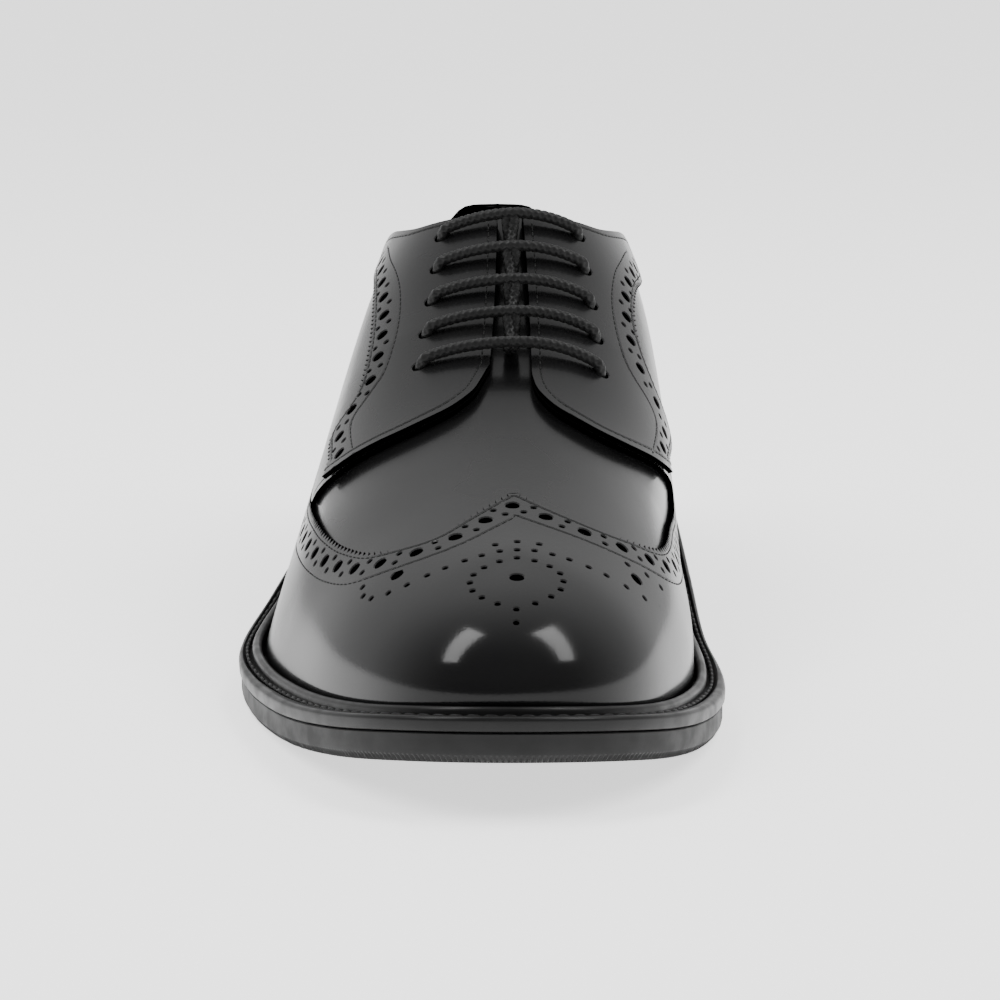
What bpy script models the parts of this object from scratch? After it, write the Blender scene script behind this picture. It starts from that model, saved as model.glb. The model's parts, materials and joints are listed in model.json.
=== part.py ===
"""Right wingtip derby brogue: last-shaped hollow upper, overlays, tongue, lace, insole, welt, outsole and heel.

Metres, +Z up. The toe points along -Y, the lateral side is -X, and the sole stands on Z = 0.
"""

import math

import bmesh
import bpy
import numpy as np
from mathutils import Vector
from mathutils.geometry import delaunay_2d_cdt

# Driving sizes of the last and the sole
LAST_LENGTH = 0.2900
BALL_WIDTH = 0.0950
INSTEP_HEIGHT = 0.0740
HEEL_HEIGHT = 0.0225
TOE_SPRING = 0.0110

# Layers of the bottom
OUTSOLE_THICKNESS = 0.0062
WELT_THICKNESS = 0.0033
BEAD_HEIGHT = 0.0018
BEAD_WIDTH = 0.0024
STITCH_GROOVE_DEPTH = 0.0008
STITCH_GROOVE_WIDTH = 0.0022
TOP_PIECE_THICKNESS = 0.0060
WELT_MARGIN_FRONT = 0.0082
WELT_MARGIN_WAIST = 0.0062
WELT_MARGIN_HEEL = 0.0062
SOLE_STEP = 0.0006
SOLE_UNDERCUT = 0.0014
HEEL_TAPER = 0.0020
HEEL_BREAST_SHARE = 0.725
HEEL_BREAST_HOLLOW = 0.0040

# Leather thicknesses and the clearance between pieces
WALL = 0.0018
OVERLAY = 0.0012
FACING = 0.0013
TONGUE = 0.0020
INSOLE = 0.0025
INSOLE_EASE = 0.0008
SEAT = 0.0003
TURN_IN = 0.0080

# Eyelets, throat, tongue, lace and backstay
EYELET_COUNT = 5
EYELET_DIAMETER = 0.0038
EYELET_PITCH = 0.0136
EYELET_SPREAD_FRONT = 0.0440
EYELET_SPREAD_TOP = 0.0350
LACE_DIAMETER = 0.0029
LACE_ARCH = 0.0012
LACE_LOW = -0.0004
LACE_CROSS = 0.0010
THROAT_GAP_FRONT = 0.0100
THROAT_GAP_TOP = 0.0064
BACKSTAY_WIDTH = 0.0170

# Places on the form: station runs 0 to 15 from toe tip to heel back, rise 0 to 1 from feather to ridge.
RIDGE_ACROSS = 0.99
THROAT_FRONT = 8.05
QUARTER_TIP = 7.72
EYELET_FRONT = 7.83
WING_EDGE_LATERAL = (
    (5.20, 1.000), (4.88, 0.943), (4.50, 0.858), (4.25, 0.765), (4.38, 0.655), (4.72, 0.555), (5.30, 0.487),
    (5.90, 0.442), (6.60, 0.395), (7.35, 0.335), (8.00, 0.290), (8.70, 0.305), (9.60, 0.308), (11.2, 0.290),
    (13.0, 0.268), (15.0, 0.262),
)
WING_EDGE_MEDIAL = (
    (5.20, 1.000), (4.88, 0.903), (4.72, 0.800), (4.74, 0.690), (4.95, 0.590), (5.22, 0.508), (5.62, 0.440),
    (6.15, 0.396), (6.85, 0.347), (7.55, 0.285), (8.15, 0.250), (8.90, 0.262), (10.0, 0.282), (11.5, 0.284),
    (13.0, 0.268), (15.0, 0.262),
)
QUARTER_FRONT_LATERAL = (
    (7.72, 0.945), (7.50, 0.930), (7.28, 0.908), (7.04, 0.850), (6.90, 0.750), (6.92, 0.650), (7.02, 0.560),
    (7.14, 0.490), (7.32, 0.420), (7.52, 0.340),
)
QUARTER_FRONT_MEDIAL = (
    (7.72, 0.958), (7.50, 0.950), (7.28, 0.928), (7.04, 0.865), (6.92, 0.755), (6.98, 0.660), (7.16, 0.570),
    (7.48, 0.465), (7.80, 0.375), (8.22, 0.262),
)
TOPLINE = (
    (9.82, 0.950), (9.86, 0.895), (9.93, 0.810), (10.06, 0.730), (10.30, 0.668), (10.60, 0.620), (11.00, 0.570),
    (11.50, 0.512), (12.00, 0.472), (12.50, 0.455), (13.00, 0.454), (13.50, 0.468), (14.00, 0.490),
    (14.25, 0.510), (14.42, 0.546), (14.60, 0.560), (15.00, 0.562),
)
FACING_REAR_LATERAL = (
    (7.36, 0.462), (7.62, 0.455), (7.86, 0.448), (7.98, 0.470), (8.01, 0.510), (8.06, 0.550), (8.20, 0.576),
    (8.50, 0.588), (8.90, 0.588), (9.35, 0.573), (9.85, 0.545), (10.4, 0.500), (11.0, 0.446), (11.8, 0.388),
    (12.4, 0.360), (13.0, 0.352), (13.8, 0.375), (15.0, 0.405),
)
FACING_REAR_MEDIAL = (
    (7.88, 0.383), (8.10, 0.368), (8.34, 0.346), (8.50, 0.342), (8.57, 0.378), (8.60, 0.428), (8.65, 0.482),
    (8.80, 0.535), (9.05, 0.568), (9.35, 0.573), (9.75, 0.549), (10.2, 0.497), (10.8, 0.448), (11.5, 0.400),
    (12.2, 0.362), (13.0, 0.352), (13.8, 0.375), (15.0, 0.405),
)
TONGUE_SIDE = ((7.35, 0.86), (7.60, 0.80), (8.40, 0.755), (9.30, 0.77), (9.85, 0.82), (10.08, 0.90), (10.16, 1.00))

# Facets: steps of the shared net over the form and of the sole's caps
STATION_STEP = 0.5
ACROSS_ROWS = 16
LINE_STEP = 0.0096
STRIP_STEP = 0.0120
RIDGE_STEP = 0.0010
CHART_SCALE = np.array([21, 90])
NET_CLEARANCE = 4.2
FLAT_FRONT = 0.25
CAP_SHARE = 0.0275
CAP_STEP = 0.014

# Sections of the last, from the toe tip round to the heel back.
# share: place along the last, 0 at the toe tip. lateral, medial: half-widths at the feather line,
# as shares of the ball width. spine: share of the last where the section ends on top.
# height: height of that end over the ball's feather line, as a share of the instep height.
# drift: x of that end, as a share of the ball width.
# swell_lateral, swell_medial: how far each side swells. shoulder, crown: how high it stays full and
# how wide the top is.
SECTION_COLUMNS = (
    "share", "lateral", "medial", "spine", "height", "drift", "swell_lateral", "swell_medial", "shoulder", "crown"
)
SECTIONS = (
    (0.000, -0.045, 0.045, 0.115, 0.469, 0.070, 0.05, 0.05, 0.60, 0.62),
    (0.012, 0.084, 0.188, 0.118, 0.472, 0.070, 0.04, 0.05, 0.60, 0.62),
    (0.042, 0.187, 0.297, 0.126, 0.480, 0.070, 0.03, 0.04, 0.59, 0.62),
    (0.088, 0.280, 0.379, 0.142, 0.495, 0.070, 0.01, 0.04, 0.58, 0.62),
    (0.148, 0.371, 0.440, 0.174, 0.522, 0.068, -0.02, 0.03, 0.57, 0.63),
    (0.218, 0.453, 0.484, 0.228, 0.572, 0.067, -0.07, 0.03, 0.56, 0.64),
    (0.292, 0.521, 0.494, 0.296, 0.640, 0.067, -0.12, 0.04, 0.56, 0.67),
    (0.372, 0.542, 0.482, 0.374, 0.735, 0.068, -0.14, 0.07, 0.57, 0.70),
    (0.460, 0.506, 0.468, 0.458, 0.875, 0.070, -0.08, 0.14, 0.58, 0.75),
    (0.560, 0.441, 0.447, 0.546, 1.065, 0.068, 0.02, 0.20, 0.57, 0.81),
    (0.660, 0.382, 0.424, 0.634, 1.270, 0.058, 0.08, 0.22, 0.54, 0.87),
    (0.760, 0.346, 0.406, 0.712, 1.400, 0.040, 0.10, 0.21, 0.48, 0.90),
    (0.850, 0.336, 0.384, 0.776, 1.460, 0.022, 0.10, 0.18, 0.42, 0.91),
    (0.926, 0.304, 0.332, 0.820, 1.480, 0.010, 0.10, 0.14, 0.38, 0.91),
    (0.978, 0.204, 0.210, 0.848, 1.490, 0.003, 0.12, 0.13, 0.36, 0.90),
    (1.000, -0.004, 0.004, 0.858, 1.490, 0.000, 0.12, 0.12, 0.36, 0.90),
)
TIP = 0
BACK = len(SECTIONS) - 1
RING = 2 * BACK

# Underside of the outsole: share of the last, and height as a share of toe spring (front) or heel height.
FRONT_PROFILE = ((-0.03, 1.12), (0.0, 0.94), (0.06, 0.58), (0.12, 0.30), (0.19, 0.09), (0.25, 0.0), (0.36, 0.0))
BACK_PROFILE = ((0.36, 0.0), (0.44, 0.08), (0.53, 0.34), (0.62, 0.67), (0.70, 0.90), (0.80, 0.985), (1.02, 1.03))


def column(name):
    place = SECTION_COLUMNS.index(name)
    return [row[place] for row in SECTIONS]


def ring_spline(values):
    """Smooth closed curve through one value a section, once round the last."""
    values = np.asarray(values, float)
    count = len(values)
    bend = 4 * np.eye(count) + np.roll(np.eye(count), 1, 0) + np.roll(np.eye(count), -1, 0)
    second = np.linalg.solve(bend, 6 * (np.roll(values, -1) - 2 * values + np.roll(values, 1)))

    def at(ring):
        low = np.floor(ring).astype(int)
        part = ring - low
        i, j = low % count, (low + 1) % count
        curve = ((1 - part) ** 3 * second[i] + part**3 * second[j]) / 6
        line = (values[i] - second[i] / 6) * (1 - part) + (values[j] - second[j] / 6) * part
        return curve + line

    return at


def both_sides(values):
    """The same value on the lateral and the medial side."""
    return ring_spline(list(values) + list(values[-2:0:-1]))


def smooth_steps(table, scale):
    """Smooth curve through a short table of share and height."""
    shares = np.array([row[0] for row in table])
    heights = np.array([row[1] for row in table]) * scale
    slopes = np.gradient(heights, shares)
    slopes[heights == 0] = 0

    def at(share):
        share = np.clip(share, shares[0], shares[-1])
        k = np.clip(np.searchsorted(shares, share, side="right") - 1, 0, len(shares) - 2)
        width = shares[k + 1] - shares[k]
        p = (share - shares[k]) / width
        rise = (2 * p**3 - 3 * p**2 + 1) * heights[k] + (3 * p**2 - 2 * p**3) * heights[k + 1]
        return rise + width * ((p**3 - 2 * p**2 + p) * slopes[k] + (p**3 - p**2) * slopes[k + 1])

    return at


lateral = [-v * BALL_WIDTH for v in column("lateral")]
medial = [v * BALL_WIDTH for v in column("medial")]
feather_x = ring_spline(lateral + medial[-2:0:-1])
feather_share = both_sides(column("share"))
spine_share = both_sides(column("spine"))
spine_height = both_sides(column("height"))
spine_x = both_sides([v * BALL_WIDTH for v in column("drift")])
swell = ring_spline(column("swell_lateral") + column("swell_medial")[-2:0:-1])
shoulder = both_sides(column("shoulder"))
crown = both_sides(column("crown"))
spine_rise = np.gradient(column("height"), column("spine")) * INSTEP_HEIGHT / LAST_LENGTH
spine_slope = both_sides([rise if share < 0.3 else 0 for rise, share in zip(spine_rise, column("spine"))])
front_underside = smooth_steps(FRONT_PROFILE, TOE_SPRING)
back_underside = smooth_steps(BACK_PROFILE, HEEL_HEIGHT)

SOLE_STACK = OUTSOLE_THICKNESS + SEAT + WELT_THICKNESS


def underside(share):
    """Height of the outsole's underside."""
    return np.where(share < FRONT_PROFILE[-1][0], front_underside(share), back_underside(share))


def y_of(share):
    return (share - 0.5) * LAST_LENGTH


def share_of(y):
    return y / LAST_LENGTH + 0.5


def feather(ring):
    """Feather line: where the upper meets the welt."""
    share = feather_share(ring)
    return np.stack([feather_x(ring), y_of(share), underside(share) + SOLE_STACK], -1)


def spine(ring):
    """Top end of each section: the ridge of the vamp and instep, and the top of the ankle cone."""
    height = SOLE_STACK + spine_height(ring) * INSTEP_HEIGHT
    return np.stack([spine_x(ring), y_of(spine_share(ring)), height], -1)


def form_point(ring, rise):
    """Point of the last: ring runs round it by sections, rise from 0 at the feather to 1 on top."""
    ring, rise = np.broadcast_arrays(np.asarray(ring, float), np.asarray(rise, float))
    low, top = feather(ring), spine(ring)
    out = low - top
    tall = top[..., 2] - low[..., 2]
    side = top + out * (1 + swell(ring))[..., None]
    side[..., 2] = low[..., 2] + tall * shoulder(ring)
    over = top + out * crown(ring)[..., None]
    over[..., 2] = top[..., 2] + out[..., 1] * crown(ring) * spine_slope(ring)
    cone = np.clip((spine_share(ring) - 0.50) / 0.2, 0, 1)
    over[..., 2] -= cone * tall * 0.05
    p = rise[..., None]
    return (1 - p) ** 3 * low + 3 * (1 - p) ** 2 * p * side + 3 * (1 - p) * p**2 * over + p**3 * top


def side_normal(ring, rise):
    inner = np.clip(rise, 0.002, 0.985)
    step = 0.004
    round_it = form_point(ring + step, inner) - form_point(ring - step, inner)
    up_it = form_point(ring, inner + step) - form_point(ring, inner - step)
    normal = np.cross(up_it, round_it)
    return normal / np.linalg.norm(normal, axis=-1, keepdims=True)


def form_normal(ring, rise):
    """Outward direction of the form. Near the ridge it passes smoothly from one side to the other."""
    ring, rise = np.broadcast_arrays(np.asarray(ring, float), np.asarray(rise, float))
    near = np.clip((rise - 0.9) / 0.1, 0, 1)
    near = (near * near * (3 - 2 * near) / 2)[..., None]
    normal = (1 - near) * side_normal(ring, rise) + near * side_normal(RING - ring, rise)
    return normal / np.linalg.norm(normal, axis=-1, keepdims=True)


def on_form(ring, rise, lift=0.0):
    """Point a given distance outside the last."""
    return form_point(ring, rise) + form_normal(ring, rise) * np.asarray(lift)[..., None]


# Building the solids

# Layers, as distances outside the form
PANEL_TOP = 0.0
PANEL_BED = PANEL_TOP - OVERLAY
UPPER_TOP = PANEL_BED - SEAT
UPPER_BED = UPPER_TOP - WALL
FACING_BED = PANEL_TOP + SEAT
FACING_TOP = FACING_BED + FACING
TONGUE_TOP = UPPER_BED - SEAT
TONGUE_BED = TONGUE_TOP - TONGUE
PANEL_JOINT = 1.5 * SEAT
BEAD_START = PANEL_TOP + 2 * SEAT

margin_along = smooth_steps(
    (
        (0.0, WELT_MARGIN_FRONT),
        (0.16, WELT_MARGIN_FRONT * 0.97),
        (0.36, WELT_MARGIN_FRONT * 0.72),
        (0.52, WELT_MARGIN_WAIST),
        (0.70, WELT_MARGIN_WAIST),
        (0.86, WELT_MARGIN_HEEL),
        (1.0, WELT_MARGIN_HEEL),
    ),
    1.0,
)


def welt_margin(ring):
    return margin_along(feather_share(ring))


def beside_feather(ring, margin):
    """Plan point a distance outside the feather line."""
    ring = np.asarray(ring, float)
    step = 0.01
    along = (feather(ring + step) - feather(ring - step))[..., :2]
    outward = np.stack([along[..., 1], -along[..., 0]], -1)
    outward /= np.linalg.norm(outward, axis=-1, keepdims=True)
    return feather(ring)[..., :2] - outward * np.asarray(margin)[..., None]


def chart_point(chart, lift=0.0):
    """Point over the form. A chart point is a station and how far across it lies:
    0 at the lateral feather, 1 on the ridge and 2 at the medial feather."""
    station, across = chart[..., 0], chart[..., 1]
    over = across > 1
    return on_form(np.where(over, RING - station, station), np.where(over, 2 - across, across), lift)


def chart_slopes(chart):
    """Surface vectors of one unit of station and one unit across."""
    step = 0.003
    one, two = np.array([step, 0]), np.array([0, step])
    by_station = (chart_point(chart + one) - chart_point(chart - one)) / (2 * step)
    by_across = (chart_point(chart + two) - chart_point(chart - two)) / (2 * step)
    return by_station, by_across


def moved(chart, toward):
    """Chart points moved by real vectors along the surface."""
    one, two = chart_slopes(chart)
    a, b, c = (one * one).sum(-1), (one * two).sum(-1), (two * two).sum(-1)
    d, e = (toward * one).sum(-1), (toward * two).sum(-1)
    size = a * c - b * b
    return chart + np.stack([(c * d - b * e) / size, (a * e - b * d) / size], -1)


def beside(line, distance, steps=6):
    """The line moved sideways over the surface, to the left of its run as seen from outside."""
    distance = np.broadcast_to(np.asarray(distance, float), line.shape[:1])
    line = np.array(line, float)
    for _ in range(steps):
        along = np.gradient(chart_point(line), axis=0)
        one, two = chart_slopes(line)
        left = np.cross(np.cross(two, one), along)
        left /= np.linalg.norm(left, axis=-1, keepdims=True)
        line = moved(line, left * (distance / steps)[:, None])
    return line


def lengths_along(line):
    points = chart_point(line)
    return np.concatenate([[0], np.cumsum(np.linalg.norm(np.diff(points, axis=0), axis=1))])


def evenly(line, spacing):
    """The same line with points at an even spacing."""
    run = lengths_along(line)
    count = max(2, int(round(run[-1] / spacing)) + 1)
    marks = np.linspace(0, run[-1], count)
    return np.stack([np.interp(marks, run, line[:, i]) for i in (0, 1)], -1)


def drawn(table, medial=False, spacing=LINE_STEP):
    """Smooth line through a table of stations and rises."""
    points = np.array(table, float)
    if medial:
        points[:, 1] = 2 - points[:, 1]
    ends = np.concatenate([[2 * points[0] - points[1]], points, [2 * points[-1] - points[-2]]])
    part = np.linspace(0, 1, 13)[:-1, None]
    runs = []
    for a, b, c, d in zip(ends, ends[1:], ends[2:], ends[3:]):
        runs.append(
            0.5
            * (2 * b + (c - a) * part + (2 * a - 5 * b + 4 * c - d) * part**2 + (3 * b - a - 3 * c + d) * part**3)
        )
    return evenly(np.concatenate(runs + [points[-1:]]), spacing)


def nearest_on(line, point):
    return int(np.argmin(np.linalg.norm(chart_point(line) - chart_point(np.asarray(point)), axis=1)))


# Lines of the panels
ridge_line = evenly(np.array([[s, RIDGE_ACROSS] for s in np.linspace(QUARTER_TIP, 9.90, 60)]), RIDGE_STEP)
wing_edge = {
    "lateral": drawn(WING_EDGE_LATERAL),
    "medial": drawn(WING_EDGE_MEDIAL, medial=True),
}


def throat_edge(side):
    """Edge of the quarter along the throat, from the front corner to the topline."""
    share = np.linspace(0, 1, len(ridge_line))
    gap = (THROAT_GAP_FRONT + (THROAT_GAP_TOP - THROAT_GAP_FRONT) * share) / 2
    return evenly(beside(ridge_line, gap if side == "lateral" else -gap), LINE_STEP)


def eyelet_centres(side):
    run = lengths_along(ridge_line)
    front = np.interp(EYELET_FRONT, ridge_line[:, 0], run)
    marks = front + EYELET_PITCH * np.arange(EYELET_COUNT)
    share = np.arange(EYELET_COUNT) / (EYELET_COUNT - 1)
    spread = (EYELET_SPREAD_FRONT + (EYELET_SPREAD_TOP - EYELET_SPREAD_FRONT) * share) / 2
    row = np.stack([np.interp(marks, run, ridge_line[:, i]) for i in (0, 1)], -1)
    return beside(row, spread if side == "lateral" else -spread, steps=12)


def ring_hole(centre, diameter, sides=10):
    """Round hole as a closed line on the chart."""
    one, _ = chart_slopes(centre)
    normal = np.cross(chart_slopes(centre)[1], one)
    normal /= np.linalg.norm(normal)
    one = one / np.linalg.norm(one)
    two = np.cross(normal, one)
    turn = 2 * math.pi * np.arange(sides) / sides
    toward = (np.cos(turn)[:, None] * one + np.sin(turn)[:, None] * two) * diameter / 2
    return moved(np.repeat(centre[None], sides, 0), toward)


def loop_of(*lines):
    """Closed outline through lines laid end to end, each point once."""
    points = np.concatenate(lines)
    keep = np.linalg.norm(points - np.roll(points, 1, 0), axis=1) > 1e-6
    return points[keep]


def mirrored(line):
    return line * [1, -1] + [0, 2]


def in_outline(points, outline):
    """Which points lie inside a closed outline."""
    inside = np.zeros(len(points), bool)
    for (x0, y0), (x1, y1) in zip(outline, np.roll(outline, -1, 0)):
        if y0 != y1:
            crosses = (y0 > points[:, 1]) != (y1 > points[:, 1])
            inside ^= crosses & (points[:, 0] < (x1 - x0) * (points[:, 1] - y0) / (y1 - y0) + x0)
    return inside


def topline(side):
    """Topline from the throat corner to the heel back, flat-topped over the backstay."""
    corner = throat_edge(side)[-1]
    rise = 2 - corner[1] if side == "medial" else corner[1]
    return drawn(((corner[0], rise),) + TOPLINE[1:], side == "medial")


def quarter_lines(side):
    """Front edge and foot of a quarter. The foot follows the wing's edge, a joint above it."""
    medial = side == "medial"
    edge = wing_edge[side]
    foot = beside(edge, PANEL_JOINT if medial else -PANEL_JOINT)
    heel = np.array([BACK, WING_EDGE_LATERAL[-1][1]])
    heel[1] += PANEL_JOINT / np.linalg.norm(chart_slopes(heel)[1])
    foot[-1] = mirrored(heel) if medial else heel
    front = drawn(QUARTER_FRONT_MEDIAL if medial else QUARTER_FRONT_LATERAL, medial)
    front[0] = throat_edge(side)[0]
    low = nearest_on(foot, front[-1])
    front[-1] = foot[low]
    return front, foot[low:]


def quarter_outline(side):
    front, foot = quarter_lines(side)
    return loop_of(throat_edge(side), topline(side), foot[::-1], front[::-1])


def facing_outline(side):
    """Facing with the collar band that runs on from it to the heel."""
    medial = side == "medial"
    front, _ = quarter_lines(side)
    rear = drawn(FACING_REAR_MEDIAL if medial else FACING_REAR_LATERAL, medial)
    start = nearest_on(front, rear[0])
    rear[0] = front[start]
    return loop_of(front[: start + 1][::-1], throat_edge(side), topline(side), rear[::-1])


def upper_outline():
    """The whole chart but for the throat and the collar opening."""
    runs = []
    for side in ("lateral", "medial"):
        throat = throat_edge(side)
        runs.append(np.concatenate([throat[throat[:, 0] >= THROAT_FRONT], topline(side)]))
    corners = np.array([[TIP, 0], [TIP, 2], [BACK, 2]], float)
    return loop_of(corners, runs[1][::-1], runs[0], [[BACK, 0.0]])


def wing_outline():
    corners = np.array([[TIP, 0], [TIP, 2], [BACK, 2]], float)
    return loop_of(corners, wing_edge["medial"][::-1], wing_edge["lateral"], [[BACK, 0.0]])


def tongue_outline():
    side = drawn(TONGUE_SIDE)
    return loop_of(side, mirrored(side)[::-1])


def backstay_outline(side, room=0.0):
    """Strip up the heel back, from just above the welt's bead to past the topline."""
    foot = (BEAD_HEIGHT + 3 * SEAT) / np.linalg.norm(chart_slopes(np.array([BACK, 0.01]))[1])
    heel = evenly(np.array([[BACK, rise] for rise in np.linspace(foot, TOPLINE[-1][1] + 0.03, 40)]), STRIP_STEP)
    strip = loop_of(heel, beside(heel, BACKSTAY_WIDTH / 2 + room)[::-1])
    strip[:, 0] = BACK - np.abs(strip[:, 0] - BACK)
    return strip if side == "lateral" else mirrored(strip)


def shared_net(outlines):
    """Triangles over the whole chart, with every outline among their edges.
    All layers take theirs from it, so their facets lie over each other and keep their gap."""
    stations = np.arange(TIP, BACK + STATION_STEP / 2, STATION_STEP)
    rows = np.linspace(0, 2, ACROSS_ROWS + 1)
    grid = np.stack(np.meshgrid(stations, rows, indexing="ij"), -1).reshape(-1, 2)
    drawn_points = np.concatenate(outlines)
    apart = np.linalg.norm((grid[:, None] - drawn_points) * CHART_SCALE, axis=2).min(1)
    border = (grid[:, 0] % BACK == 0) | (grid[:, 1] % 2 == 0)
    grid = grid[(apart > NET_CLEARANCE) | (border & (apart > NET_CLEARANCE / 4))]
    points, edges = list(grid), []
    for outline in outlines:
        first = len(points)
        points += list(outline)
        edges += [(first + i, first + (i + 1) % len(outline)) for i in range(len(outline))]
    scaled = [Vector(point * CHART_SCALE) for point in points]
    found, _, triangles, _, _, _ = delaunay_2d_cdt(scaled, edges, [], 0, 1e-4)
    return np.array([tuple(point) for point in found]) / CHART_SCALE, np.array(triangles)


def welded_ends(charts):
    """For each point of the net, the point that stands for it: the two sides meet at toe tip and heel back."""
    stands = np.arange(len(charts))
    for end in (TIP, BACK):
        line = np.flatnonzero(np.abs(charts[:, 0] - end) < 1e-6)
        for i in line[charts[line, 1] > 1 + 1e-6]:
            away = np.linalg.norm(charts[line] - [end, 2 - charts[i, 1]], axis=1)
            stands[i] = line[np.argmin(away)]
    return stands


def border_edges(faces):
    """Directed edges that only one triangle has."""
    edges = [(face[i], face[(i + 1) % 3]) for face in faces.tolist() for i in range(3)]
    every = set(edges)
    return [edge for edge in edges if edge[::-1] not in every]


def lasted_under(charts):
    """The upper's wall below the feather: down to the outsole, and in under the insole."""
    ring = np.where(charts[:, 1] > 1, RING - charts[:, 0], charts[:, 0])
    rows = []
    for margin, height in (
        (UPPER_TOP, 0.0),
        (UPPER_BED - TURN_IN, 0.0),
        (UPPER_BED - TURN_IN, WALL),
        (UPPER_BED, WALL),
    ):
        plan = beside_feather(ring, margin)
        level = underside(share_of(plan[:, 1])) + OUTSOLE_THICKNESS + SEAT + height
        rows.append(np.column_stack([plan, level]))
    return rows


def layer(name, net, picked, bed, top, material, lasted=False):
    """Solid between two offsets of the form, over the picked triangles of the net."""
    charts, triangles = net
    stands = welded_ends(charts)
    faces = stands[triangles[picked]]
    count = len(charts)
    points = [chart_point(charts, top), chart_point(charts, bed)]
    quads = []
    under = lasted_under(charts) if lasted else []
    chain = [0] + [k + 2 for k in range(len(under))] + [1]
    for a, b in border_edges(faces):
        at_feather = lasted and all(min(charts[i, 1], 2 - charts[i, 1]) < 1e-6 for i in (a, b))
        path = chain if at_feather else [0, 1]
        quads += [(b + p * count, a + p * count, a + q * count, b + q * count) for p, q in zip(path, path[1:])]
    all_faces = faces.tolist() + [(a + count, c + count, b + count) for a, b, c in faces.tolist()] + quads
    return solid(name, np.concatenate(points + under), all_faces, material)


def finish(mesh, angle=35):
    mesh.shade_smooth()
    mesh.set_sharp_from_angle(angle=math.radians(angle))


def solid(name, points, faces, material):
    """Closed mesh object from points and faces, with loose points dropped and faces turned outward."""
    mesh = bpy.data.meshes.new(name)
    mesh.from_pydata([tuple(point) for point in points], [], faces)
    body = bmesh.new()
    body.from_mesh(mesh)
    bmesh.ops.delete(body, geom=[v for v in body.verts if not v.link_faces], context="VERTS")
    bmesh.ops.recalc_face_normals(body, faces=body.faces)
    if body.calc_volume(signed=True) < 0:
        bmesh.ops.reverse_faces(body, faces=body.faces)
    body.to_mesh(mesh)
    body.free()
    finish(mesh)
    return placed(name, mesh, material)


def placed(name, data, material, collection=None):
    thing = bpy.data.objects.new(name, data)
    data.materials.append(material)
    (collection or shoe_pieces).objects.link(thing)
    thing.parent = shoe_origin
    return thing


def surface(name, colour, roughness, metallic=0.0):
    material = bpy.data.materials.new(name)
    material.use_nodes = True
    shader = material.node_tree.nodes["Principled BSDF"]
    shader.inputs["Base Color"].default_value = (*colour, 1)
    shader.inputs["Roughness"].default_value = roughness
    shader.inputs["Metallic"].default_value = metallic
    material.diffuse_color = (*colour, 1)
    return material


def cap(outline):
    """Triangles inside a plan outline, with inner points so that they follow the arch. Gives the inner points too."""
    low, high = outline.min(0), outline.max(0)
    across = np.arange(low[0] + CAP_STEP, high[0], CAP_STEP)
    shares = np.arange(FLAT_FRONT - 20 * CAP_SHARE, 1.1, CAP_SHARE)
    grid = np.stack(np.meshgrid(across, y_of(shares), indexing="ij"), -1).reshape(-1, 2)
    grid = grid[in_outline(grid, outline)]
    apart = np.linalg.norm(grid[:, None] - outline, axis=2).min(1)
    grid = grid[apart > CAP_STEP * 0.5]
    count = len(outline)
    edges = [(i, (i + 1) % count) for i in range(count)]
    scaled = [Vector(point * 1000) for point in np.concatenate([outline, grid])]
    _, _, triangles, origin, _, _ = delaunay_2d_cdt(scaled, edges, [], 1, 1e-4)
    return grid, [[origin[i][0] for i in triangle] for triangle in triangles]


def stack(name, loops, level_low, level_high, material):
    """Solid through plan outlines one above the other, capped at both ends. Each loop holds x, y and z."""
    points = np.concatenate(loops)
    count = len(loops[0])
    faces = []
    for k in range(len(loops) - 1):
        for i in range(count):
            j = (i + 1) % count
            faces.append((k * count + i, k * count + j, (k + 1) * count + j, (k + 1) * count + i))
    for k, level in ((0, level_low), (len(loops) - 1, level_high)):
        grid, triangles = cap(loops[k][:, :2])
        first = len(points)
        points = np.concatenate([points, np.column_stack([grid, level(grid)])])
        faces += [[k * count + i if i < count else first + i - count for i in face] for face in triangles]
    return solid(name, points, faces, material)


def over_underside(height):
    return lambda plan: underside(share_of(plan[:, 1])) + height


def raised(plan, level):
    return np.column_stack([plan, level(plan)])


ring_places = np.arange(0, RING, STATION_STEP)


def outsole(material):
    edge = welt_margin(ring_places) - SOLE_STEP
    rows = ((edge - SOLE_UNDERCUT, 0.0), (edge, OUTSOLE_THICKNESS * 0.3), (edge, OUTSOLE_THICKNESS))
    loops = [raised(beside_feather(ring_places, margin), over_underside(height)) for margin, height in rows]
    return stack("outsole", loops, over_underside(0), over_underside(OUTSOLE_THICKNESS), material)


def insole(material):
    low = OUTSOLE_THICKNESS + SEAT + WALL + SEAT
    plan = beside_feather(ring_places, UPPER_BED - SEAT - INSOLE_EASE)
    loops = [raised(plan, over_underside(height)) for height in (low, low + INSOLE)]
    return stack("insole", loops, over_underside(low), over_underside(low + INSOLE), material)


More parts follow.
